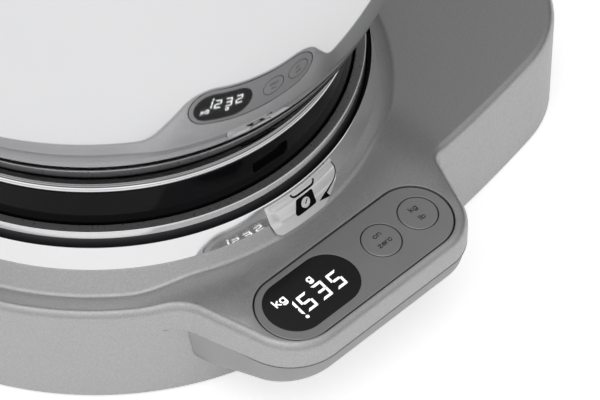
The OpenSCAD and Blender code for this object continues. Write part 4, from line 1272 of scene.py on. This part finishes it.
# Strokes of each letter over a height of 1, and the way to the next letter
LETTERS: dict[str, tuple[list[list[Flat]], float]] = {
    "k": ([[(0.0, 1.5), (0.0, 0.0)], [(0.72, 1.0), (0.0, 0.42)], [(0.24, 0.6), (0.80, 0.0)]], 1.12),
    "g": ([BOWL_OF_G, [(0.88, 1.0), (0.88, 0.0), (0.86, -0.25), (0.70, -0.42), (0.44, -0.47),
                       (0.18, -0.42), (0.06, -0.30)]], 1.22),
    "l": ([[(0.0, 1.5), (0.0, 0.0)]], 0.42),
    "b": ([[(0.0, 1.5), (0.0, 0.0)], BOWL_OF_G], 1.22),
    "o": ([BOWL_OF_G], 1.22),
    "n": ([[(0.0, 1.0), (0.0, 0.0)], [(0.0, 0.55), (0.08, 0.82), (0.26, 0.97), (0.46, 1.0),
                                      (0.66, 0.92), (0.76, 0.72), (0.78, 0.5), (0.78, 0.0)]], 1.10),
    "z": ([[(0.0, 1.0), (0.72, 1.0)], [(0.72, 1.0), (0.0, 0.0)], [(0.0, 0.0), (0.76, 0.0)]], 1.06),
    "e": ([[(0.02, 0.52), (0.86, 0.52)], [(0.86, 0.52), (0.84, 0.72), (0.70, 0.92), (0.44, 1.0),
                                          (0.17, 0.90), (0.02, 0.62), (0.01, 0.40), (0.14, 0.12),
                                          (0.42, 0.0), (0.68, 0.05), (0.82, 0.18)]], 1.16),
    "r": ([[(0.0, 1.0), (0.0, 0.0)], [(0.0, 0.55), (0.08, 0.82), (0.24, 0.96), (0.46, 1.0)]], 0.72),
}


@dataclass(frozen=True)
class Panel:
    """Control panel: groove, plate, display window, buttons and their lettering."""

    plan: Plan
    half: float = 30.6
    shift: Flat = (0.25, -0.75)
    groove_r: float = 15.4
    plate_r: float = 14.95
    low: float = -2.2
    face: float = -0.4
    window_x: float = -21.3
    window_half: float = 8.6
    window_r: float = 11.8
    window_low: float = -3.2
    button_x: Flat = (14.8, 34.0)
    button_r: float = 7.5
    button_gap: float = 0.35
    print_lift: float = 0.03
    print_sink: float = 0.1
    digit_size: Flat = (5.05, 7.6)
    digit_low: float = -5.6
    stroke: float = 1.05
    slant: float = 0.08
    digits: tuple[tuple[str, float], ...] = (("1", -34.95), ("5", -28.4), ("3", -20.8), ("5", -13.3))
    dot: Spot = (-30.2, -6.75, 0.75)

    SEGMENTS = {"1": "bc", "3": "abcdg", "5": "acdfg"}

    def _place(self, shell: Shell) -> Shell:
        """Puts a shell given in the panel's own directions in its place."""
        return shell.moved(self.plan.panel)

    def _slot(self, radius: float) -> list[Flat]:
        """Outline about the panel's own middle."""
        return [(x + self.shift[0], y + self.shift[1]) for x, y in pill(self.half, radius)]

    def _stroke(self, key: str) -> list[Flat]:
        """Outline of one stroke of a lit digit."""
        w, h = self.digit_size
        t, e = self.stroke, 0.10
        upper = {
            "a": [(e, h), (w - e, h), (w - t - e, h - t), (t + e, h - t)],
            "b": [(w, h - e), (w, h / 2 + e), (w - t / 2, h / 2 + e), (w - t, h / 2 + t / 2 + e),
                  (w - t, h - t - e)],
            "f": [(0, h - e), (0, h / 2 + e), (t / 2, h / 2 + e), (t, h / 2 + t / 2 + e),
                  (t, h - t - e)],
            "g": [(t / 2 + e, h / 2), (t + e, h / 2 + t / 2), (w - t - e, h / 2 + t / 2),
                  (w - t / 2 - e, h / 2), (w - t - e, h / 2 - t / 2), (t + e, h / 2 - t / 2)],
        }
        mirror = {"d": "a", "c": "b"}
        if key in upper:
            return upper[key]
        return [(x, h - y) for x, y in upper[mirror[key]]]

    def _digits(self) -> Shell:
        """All lit strokes and the decimal point."""
        shells = []
        lift = self.face + self.print_lift
        for text, x0 in self.digits:
            for key in self.SEGMENTS[text]:
                line = [(x0 + x + self.slant * y, self.digit_low + y) for x, y in self._stroke(key)]
                shells.append(inlay([line], self.face - self.print_sink, lift))
        shells.append(inlay([circle(self.dot[2], 24, self.dot[:2])], self.face - self.print_sink, lift))
        return joined(shells)

    def _word(self, name: str, text: str, box: tuple[float, float, float, float], finish: Finish,
              half: float, body: str) -> None:
        """Makes a printed word of plain round-ended strokes.

        Args:
            name: name of the piece.
            text: what it says.
            box: left, right, upper and lower limit on the panel.
            finish: its finish.
            half: half the width of a stroke.
            body: the body it rides on.
        """
        lines, at = [], 0.0
        for letter in text:
            strokes, width = LETTERS[letter]
            lines += [np.array(stroke) + (at, 0.0) for stroke in strokes]
            at += width
        every = np.concatenate(lines)
        low, high = every.min(0), every.max(0)
        left, right, top, bottom = box
        first = np.array((left + half, bottom + half))
        last = np.array((right - half, top - half))
        shells = []
        for k, line in enumerate(lines):
            spots = first + (line - low) / (high - low) * (last - first)
            lift = self.face + self.print_lift + 0.001 * k
            shells.append(inlay([brush(smooth(spots), half)], self.face - self.print_sink, lift))
        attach(self._place(joined(shells)).piece(name, finish), body)

    def build(self) -> None:
        """Makes every piece of the panel."""
        gasket = plate(lambda d: self._slot(self.groove_r - d),
                       [lambda d: self._slot(self.plate_r + 0.05 + d)], self.low, self.face - 0.4)
        piece = self._place(gasket).piece("panel_groove", RUBBER)
        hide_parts("panel_gasket")
        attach(piece, "base")
        holes = [lambda d: [(x + self.window_x, y)
                            for x, y in pill(self.window_half, self.window_r + 0.1 + d)]]
        for x0 in self.button_x:
            holes.append(lambda d, x0=x0: circle(self.button_r + self.button_gap + d, 64, (x0, 0)))
        face = plate(lambda d: self._slot(self.plate_r - 0.05 - d), holes, self.low, self.face,
                     0.3, 0.15)
        piece = self._place(face).piece("panel_face", PANEL)
        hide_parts("display_panel")
        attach(piece, "base")
        window = plate(lambda d: [(x + self.window_x, y)
                                  for x, y in pill(self.window_half, self.window_r - d)], [],
                       self.window_low, self.face, 0.12)
        piece = self._place(window).piece("window_glass", WINDOW)
        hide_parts("display_window")
        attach(piece, "base")
        names = [("on_zero_button", "on_zero_key"), ("unit_button", "unit_key")]
        for (node, body), x0 in zip(names, self.button_x):
            key = plate(lambda d: circle(self.button_r - d, 72, (x0, 0)), [], self.window_low,
                        self.face, 0.35)
            piece = self._place(key).piece(node + "_cap", PANEL)
            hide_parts(node)
            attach(piece, body)
        lit = self._place(self._digits()).piece("lit_digits", DIGITS)
        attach(lit, "base")
        self._word("lit_kg", "kg", (-35.8, -30.3, 6.75, 2.1), DIGITS, 0.33, "base")
        self._word("lit_g", "g", (-19.2, -16.7, 5.95, 2.75), DIGITS, 0.33, "base")
        self._word("legend_on", "on", (13.1, 16.9, 3.45, 1.75), LEGEND, 0.22, "on_zero_key")
        self._word("legend_zero", "zero", (11.6, 18.4, -0.85, -2.6), LEGEND, 0.22, "on_zero_key")
        self._word("legend_kg", "kg", (32.2, 35.8, 3.9, 0.95), LEGEND, 0.22, "unit_key")
        self._word("legend_lb", "lb", (32.6, 35.4, -1.05, -3.3), LEGEND, 0.22, "unit_key")


@dataclass(frozen=True)
class IndexTab:
    """Curved tab that laps the ring and the collar in front, with a printed pictogram.

    A fade gives the distance at which the thickness begins to grow, and over which it grows.
    """

    plan: Plan
    middle: float = -88.0
    round_r: float = 106.0
    low_z: float = 48.2
    top_share: float = 0.84
    thick: float = 0.9
    thin: float = 0.12
    print_lift: float = 0.04
    print_sink: float = 0.08
    fade_down: Flat = (0.6, 3.0)
    fade_along: Flat = (18.6, 3.5)
    fade_lean: Flat = (0.3, 8.0)
    fade_skirt: Flat = (7.5, 2.0)
    outline: tuple[Spot, ...] = (
        (-18.3, 0.4, 0.4), (-17.6, 7.2, 3.0), (-16.4, 13.4, 3.2), (6.6, 13.6, 3.0), (12.0, 11.2, 3.0),
        (17.9, 8.2, 3.0), (18.4, 0.4, 0.4),
    )
    case: tuple[Spot, ...] = (
        (-4.6, 3.8, 0.9), (-6.9, 10.3, 1.1), (3.9, 10.2, 1.1), (3.9, 3.8, 0.9),
    )
    dial: Spot = (-0.7, 7.2, 2.2)
    pan: tuple[Flat, ...] = (
        (-6.0, 1.0), (-5.5, 2.1), (-4.3, 2.6), (-0.7, 2.6), (3.2, 2.7), (5.0, 2.7), (6.1, 1.9), (6.4, 1.2),
    )
    sweep: tuple[Flat, ...] = (
        (17.6, 1.6), (18.0, 4.0), (17.4, 6.2), (15.6, 7.9), (13.2, 8.7), (10.9, 9.4), (8.9, 10.1),
    )

    def _line(self) -> list[Flat]:
        """Section of the tab's inner face, from the ring down over the collar."""
        ring, plan = TrimRing(), self.plan
        lean = (plan.collar_foot_r - plan.collar_head_r) / (plan.collar_top - plan.deck_h)
        low = (plan.collar_head_r + 0.55 + lean * (plan.collar_top - self.low_z), self.low_z)
        knee = ring.face(0.0, 0.3)
        bend = rounded([(*ring.face(1.2, 0.08), 0), (*ring.face(self.top_share, 0.08), 0),
                        (knee[0] + 0.35, knee[1], 7.0), (*low, 0), (low[0] - 2.0, low[1], 0)], 48)
        return bend[1:-1]

    @lru_cache(maxsize=1)
    def _run(self) -> tuple[np.ndarray, np.ndarray]:
        """Distances along the section's line and its points, evenly spaced and eased."""
        eased = spaced(np.array(self._line()), 120)
        for _ in range(20):
            eased[1:-1] = (eased[:-2] + 2 * eased[1:-1] + eased[2:]) / 4
        return distances(eased), eased

    def _depth(self, u: float, v: float) -> float:
        """Thickness of the tab, which fades out up the ring and at its left end."""
        down = smoothstep((v - self.fade_down[0]) / self.fade_down[1])
        lean = self.fade_lean[0] * min(self.fade_lean[1], v)
        along = smoothstep((u + self.fade_along[0] - lean) / self.fade_along[1])
        skirt = min(1.0, max(0.0, v - self.fade_skirt[0]) / self.fade_skirt[1])
        return self.thin + (self.thick - self.thin) * max(down * along, skirt)

    def place(self, u: float, v: float, lift: float) -> Spot:
        """A point over the tab's section.

        Args:
            u: distance to the right of the tab's middle.
            v: distance down from its upper edge.
            lift: height over the inner face; over 0 it is over the outer face less the thickness.

        Returns:
            The place.
        """
        along, line = self._run()
        v = min(max(v, 0.0), float(along[-1]))
        r, z = np.interp(v, along, line[:, 0]), np.interp(v, along, line[:, 1])
        a, b = max(v - 0.6, 0.0), min(v + 0.6, float(along[-1]))
        dr = np.interp(b, along, line[:, 0]) - np.interp(a, along, line[:, 0])
        dz = np.interp(b, along, line[:, 1]) - np.interp(a, along, line[:, 1])
        size = math.hypot(dr, dz)
        lift = lift + self._depth(u, v) - self.thick if lift > 0 else lift
        r, z = r - dz / size * lift, z + dr / size * lift
        turn = math.radians(self.middle) + u / self.round_r
        return float(r * math.cos(turn)), float(r * math.sin(turn)), float(z)

    def _print(self, name: str, loops: Sequence[Sequence[Flat]]) -> None:
        """Makes one printed figure on the tab's face."""
        shell = inlay([resample(loop, 0.6) for loop in loops], self.thick - self.print_sink,
                      self.thick + self.print_lift, 0.9).mapped(self.place)
        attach(shell.piece(name, PRINT, 30.0), "base")

    def build(self) -> None:
        """Makes the tab and its pictogram."""
        loop = resample(rounded(self.outline, 8), 0.7)
        shell = Shell()
        rows = []
        for d, lift in [(0.0, 0.0), (0.0, self.thick - 0.35), (0.1, self.thick - 0.1), (0.35, self.thick),
                        (0.45, self.thick)]:
            rows.append(shell.level(inset(loop, d), lift))
        shell.skin(rows)
        shell.fill([rows[0]], 0.0, 1.0)
        shell.fill([rows[-1]], self.thick, 0.45)
        piece = shell.mapped(self.place).piece("index_tab_skin", TAB, 50.0)
        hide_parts("index_tab")
        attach(piece, "base")
        x, y, r = self.dial
        self._print("mark_case", [rounded(self.case, 5), circle(r, 28, (x, y))])
        self._print("mark_hand", [ribbon([(x - 0.3, y + 0.5), (x + 1.2, y - 1.1)], 0.28, 0.18)])
        self._print("mark_pan", [ribbon(smooth(self.pan), 0.38, 0.38)])
        self._print("mark_sweep", [ribbon(smooth(self.sweep), 0.22, 0.36)])
        self._print("mark_arrow", [[(5.0, 10.6), (9.4, 9.3), (10.4, 12.0)]])


@dataclass(frozen=True)
class Screws:
    """Pan-head screws with a cross recess, heads down, one at each packed place."""

    node: str
    body: str
    head_r: float
    head_h: float
    shank_r: float
    recess: float = 0.5
    segments: int = 40

    def _places(self) -> list[tuple[Spot, float]]:
        """Foot and length of each packed screw of the node, in metres."""
        work = bmesh.new()
        work.from_mesh(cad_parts[self.node].data)
        bmesh.ops.remove_doubles(work, verts=work.verts, dist=1e-6)
        left, out = set(work.verts), []
        while left:
            todo, own = [left.pop()], []
            while todo:
                here = todo.pop()
                own.append(here.co.copy())
                near = {e.other_vert(here) for e in here.link_edges} & left
                left -= near
                todo += near
            low, high = (Vector(f(c[k] for c in own) for k in range(3)) for f in (min, max))
            out.append((((low.x + high.x) / 2, (low.y + high.y) / 2, low.z), high.z - low.z))
        work.free()
        return sorted(out)

    def _tree(self) -> bpy.types.NodeTree:
        """Node tree of one kind of screw, set on every point of the mesh it is given."""
        tree = bpy.data.node_groups.new("screws", "GeometryNodeTree")
        kinds = {"Places": "Geometry", "Head Radius": "Float", "Head Height": "Float",
                 "Shank Radius": "Float", "Length": "Float", "Recess": "Float", "Segments": "Int",
                 "Material": "Material"}
        for name, kind in kinds.items():
            tree.interface.new_socket(name, in_out="INPUT", socket_type="NodeSocket" + kind)
        tree.interface.new_socket("Screws", in_out="OUTPUT", socket_type="NodeSocketGeometry")
        given = tree.nodes.new("NodeGroupInput").outputs

        def worked(operation: str, first: Any, second: Any) -> bpy.types.NodeSocket:
            """The result of a sum with two sizes."""
            return add_node(tree, "ShaderNodeMath", {0: first, 1: second}, operation=operation).outputs[0]

        def times(size: bpy.types.NodeSocket, share: float) -> bpy.types.NodeSocket:
            """A share of a size."""
            return worked("MULTIPLY", size, share)

        def turned(low_r: Any, high_r: Any, foot: Any, height: Any) -> bpy.types.NodeSocket:
            """A round length of the screw, straight or tapered."""
            cone = add_node(tree, "GeometryNodeMeshCone", {
                "Vertices": given["Segments"], "Radius Bottom": low_r, "Radius Top": high_r,
                "Depth": height})
            lift = add_node(tree, "ShaderNodeCombineXYZ", {"Z": foot})
            return add_node(tree, "GeometryNodeTransform", {
                "Geometry": cone.outputs["Mesh"], "Translation": lift.outputs["Vector"],
            }).outputs["Geometry"]

        def solid(operation: str, inputs: dict[int, Any]) -> bpy.types.NodeSocket:
            """Solids added to or cut from each other."""
            return add_node(tree, "GeometryNodeMeshBoolean", inputs, operation=operation,
                            solver="EXACT").outputs["Mesh"]

        head_r, head_h, shank_r = given["Head Radius"], given["Head Height"], given["Shank Radius"]
        dome = turned(times(head_r, 0.7), head_r, 0.0, times(head_h, 0.5))
        brim_foot = times(head_h, 0.48)
        brim = turned(head_r, head_r, brim_foot, worked("SUBTRACT", head_h, brim_foot))
        root, tip = times(head_h, 0.9), times(shank_r, 0.6)
        rest = worked("SUBTRACT", worked("SUBTRACT", given["Length"], root), tip)
        shank = turned(shank_r, shank_r, root, rest)
        end = times(tip, 1.05)
        point = turned(shank_r, times(shank_r, 0.55), worked("SUBTRACT", given["Length"], end), end)
        whole = solid("UNION", {1: [dome, brim, shank, point]})
        arms = []
        for turn in (0, 1):
            size = add_node(tree, "ShaderNodeCombineXYZ", {
                turn: times(head_r, 1.15), 1 - turn: given["Recess"], "Z": head_h})
            arms.append(add_node(tree, "GeometryNodeMeshCube", {
                "Size": size.outputs["Vector"]}).outputs["Mesh"])
        spread = add_node(tree, "GeometryNodeInstanceOnPoints", {
            "Points": given["Places"], "Instance": solid("DIFFERENCE", {0: whole, 1: arms})})
        real = add_node(tree, "GeometryNodeRealizeInstances", {"Geometry": spread.outputs["Instances"]})
        painted = add_node(tree, "GeometryNodeSetMaterial", {
            "Geometry": real.outputs["Geometry"], "Material": given["Material"]})
        add_node(tree, "NodeGroupOutput", {"Screws": painted.outputs["Geometry"]})
        return tree

    def build(self) -> None:
        """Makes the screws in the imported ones' place."""
        places = self._places()
        mesh = bpy.data.meshes.new(self.node + "_skin")
        mesh.from_pydata([spot for spot, _ in places], [], [])
        piece = bpy.data.objects.new(self.node + "_skin", mesh)
        bpy.context.scene.collection.objects.link(piece)
        step = piece.modifiers.new("screws", "NODES")
        step.node_group = self._tree()
        values = {"Head Radius": self.head_r * MM, "Head Height": self.head_h * MM,
                  "Shank Radius": self.shank_r * MM, "Length": min(size for _, size in places),
                  "Recess": self.recess * MM, "Segments": self.segments, "Material": SCREW.material()}
        for socket in step.node_group.interface.items_tree:
            if socket.in_out == "INPUT" and socket.name in values:
                step[socket.identifier] = values[socket.name]
        plain(piece, 35.0)
        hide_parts(self.node)
        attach(piece, self.body)
        LOG.info("%s: %d screws, %d faces", piece.name, len(places), len(piece.data.polygons))


def dress_nodes() -> None:
    """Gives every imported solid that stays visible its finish."""
    for name, finish in CARRIED_OVER.items():
        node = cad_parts[name]
        node.data.materials.clear()
        node.data.materials.append(finish.material())


@dataclass(frozen=True)
class Studio:
    """Floor, light and camera."""

    azimuth: float = -45.12
    elevation: float = 46.76
    distance: float = 1473.0
    aim: Spot = (7.97, -98.13, 45.73)
    lens: float = 240.0
    floor_half: float = 6.0
    floor_glow: float = 0.54
    mirror_glow: float = 0.34
    bright_side: Spot = (-0.55, -0.45, 0.70)
    side_span: Flat = (-0.4, 0.95)
    side_light: Flat = (0.10, 0.85)
    lift_span: Flat = (-0.05, 0.40)
    lift_light: Flat = (0.35, 1.0)

    def _floor(self) -> None:
        """Makes the pale floor."""
        mesh = bpy.data.meshes.new("floor")
        h = self.floor_half
        mesh.from_pydata([(-h, -h, 0), (h, -h, 0), (h, h, 0), (-h, h, 0)], [], [(0, 1, 2, 3)])
        ground = bpy.data.objects.new("floor", mesh)
        bpy.context.scene.collection.objects.link(ground)
        pale = bpy.data.materials.new("pale_floor")
        pale.use_nodes = True
        tree = pale.node_tree
        body = tree.nodes["Principled BSDF"]
        body.inputs["Base Color"].default_value = (0.90, 0.90, 0.90, 1)
        body.inputs["Roughness"].default_value = 0.9
        body.inputs["Specular IOR Level"].default_value = 0.0
        body.inputs["Emission Color"].default_value = (1, 1, 1, 1)
        path = add_node(tree, "ShaderNodeLightPath").outputs
        glow: Any = 0.0
        for name, share in (("Is Camera Ray", self.floor_glow), ("Is Glossy Ray", self.mirror_glow),
                            ("Is Transmission Ray", self.mirror_glow)):
            part = add_node(tree, "ShaderNodeMath", {0: path[name], 1: share}, operation="MULTIPLY")
            glow = add_node(tree, "ShaderNodeMath", {0: part.outputs["Value"], 1: glow},
                            operation="MAXIMUM").outputs["Value"]
        tree.links.new(glow, body.inputs["Emission Strength"])
        mesh.materials.append(pale)

    def _world(self) -> None:
        """Makes the world: bright overhead and behind the camera, darker beyond the model."""
        world = bpy.data.worlds.new("studio")
        bpy.context.scene.world = world
        world.use_nodes = True
        tree = world.node_tree
        place = add_node(tree, "ShaderNodeTexCoord").outputs["Generated"]
        height = add_node(tree, "ShaderNodeSeparateXYZ", {"Vector": place}).outputs["Z"]
        toward = add_node(tree, "ShaderNodeVectorMath", {
            0: place, 1: Vector(self.bright_side).normalized()}, operation="DOT_PRODUCT")
        side = remapped(tree, toward.outputs["Value"], self.side_span, self.side_light)
        lift = remapped(tree, height, self.lift_span, self.lift_light)
        both = add_node(tree, "ShaderNodeMath", {0: side, 1: lift}, operation="MULTIPLY")
        back = tree.nodes["Background"]
        back.inputs["Color"].default_value = (1, 1, 1, 1)
        tree.links.new(both.outputs["Value"], back.inputs["Strength"])

    def _lamp(self, name: str, place: Spot, size: float, power: float) -> None:
        """A soft lamp aimed at the model.

        Args:
            name: its name.
            place: where it stands, in metres.
            size: side of its square, in metres.
            power: in watts.
        """
        light = bpy.data.lights.new(name, "AREA")
        light.size = size
        light.energy = power
        lamp = bpy.data.objects.new(name, light)
        bpy.context.scene.collection.objects.link(lamp)
        lamp.location = place
        lamp.rotation_euler = (-Vector(place)).to_track_quat("-Z", "Y").to_euler()

    def build(self) -> None:
        """Makes the floor, the world, the lamp and the camera."""
        self._floor()
        self._world()
        self._lamp("overhead", (-0.5, -0.3, 1.8), 1.6, 4.5)
        lens = bpy.data.cameras.new("camera")
        lens.lens = self.lens
        lens.clip_end = 20.0
        camera = bpy.data.objects.new("camera", lens)
        bpy.context.scene.collection.objects.link(camera)
        a, e = math.radians(self.azimuth), math.radians(self.elevation)
        back = Vector((math.sin(a) * math.cos(e), -math.cos(a) * math.cos(e), math.sin(e)))
        camera.location = (Vector(self.aim) + back * self.distance) * MM
        camera.rotation_euler = (-back).to_track_quat("-Z", "Y").to_euler()
        bpy.context.scene.camera = camera
        bpy.context.scene.view_settings.view_transform = "Standard"


def main() -> None:
    """Builds the whole scene."""
    logging.basicConfig(level=logging.INFO)
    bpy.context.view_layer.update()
    dress_nodes()
    plan = Plan()
    Housing(plan).build()
    ConsoleCover(plan).build()
    TrimRing().build()
    IndexTab(plan).build()
    Platform().build()
    Bowl().build()
    Panel(plan).build()
    Screws("cover_screws", "base", 2.6, 1.8, 1.5).build()
    Screws("housing_screws", "base", 2.6, 1.1, 1.5).build()
    Screws("cell_screws", "base", 3.5, 2.2, 2.0, recess=0.7).build()
    Studio().build()


if __name__ == "__main__":
    main()
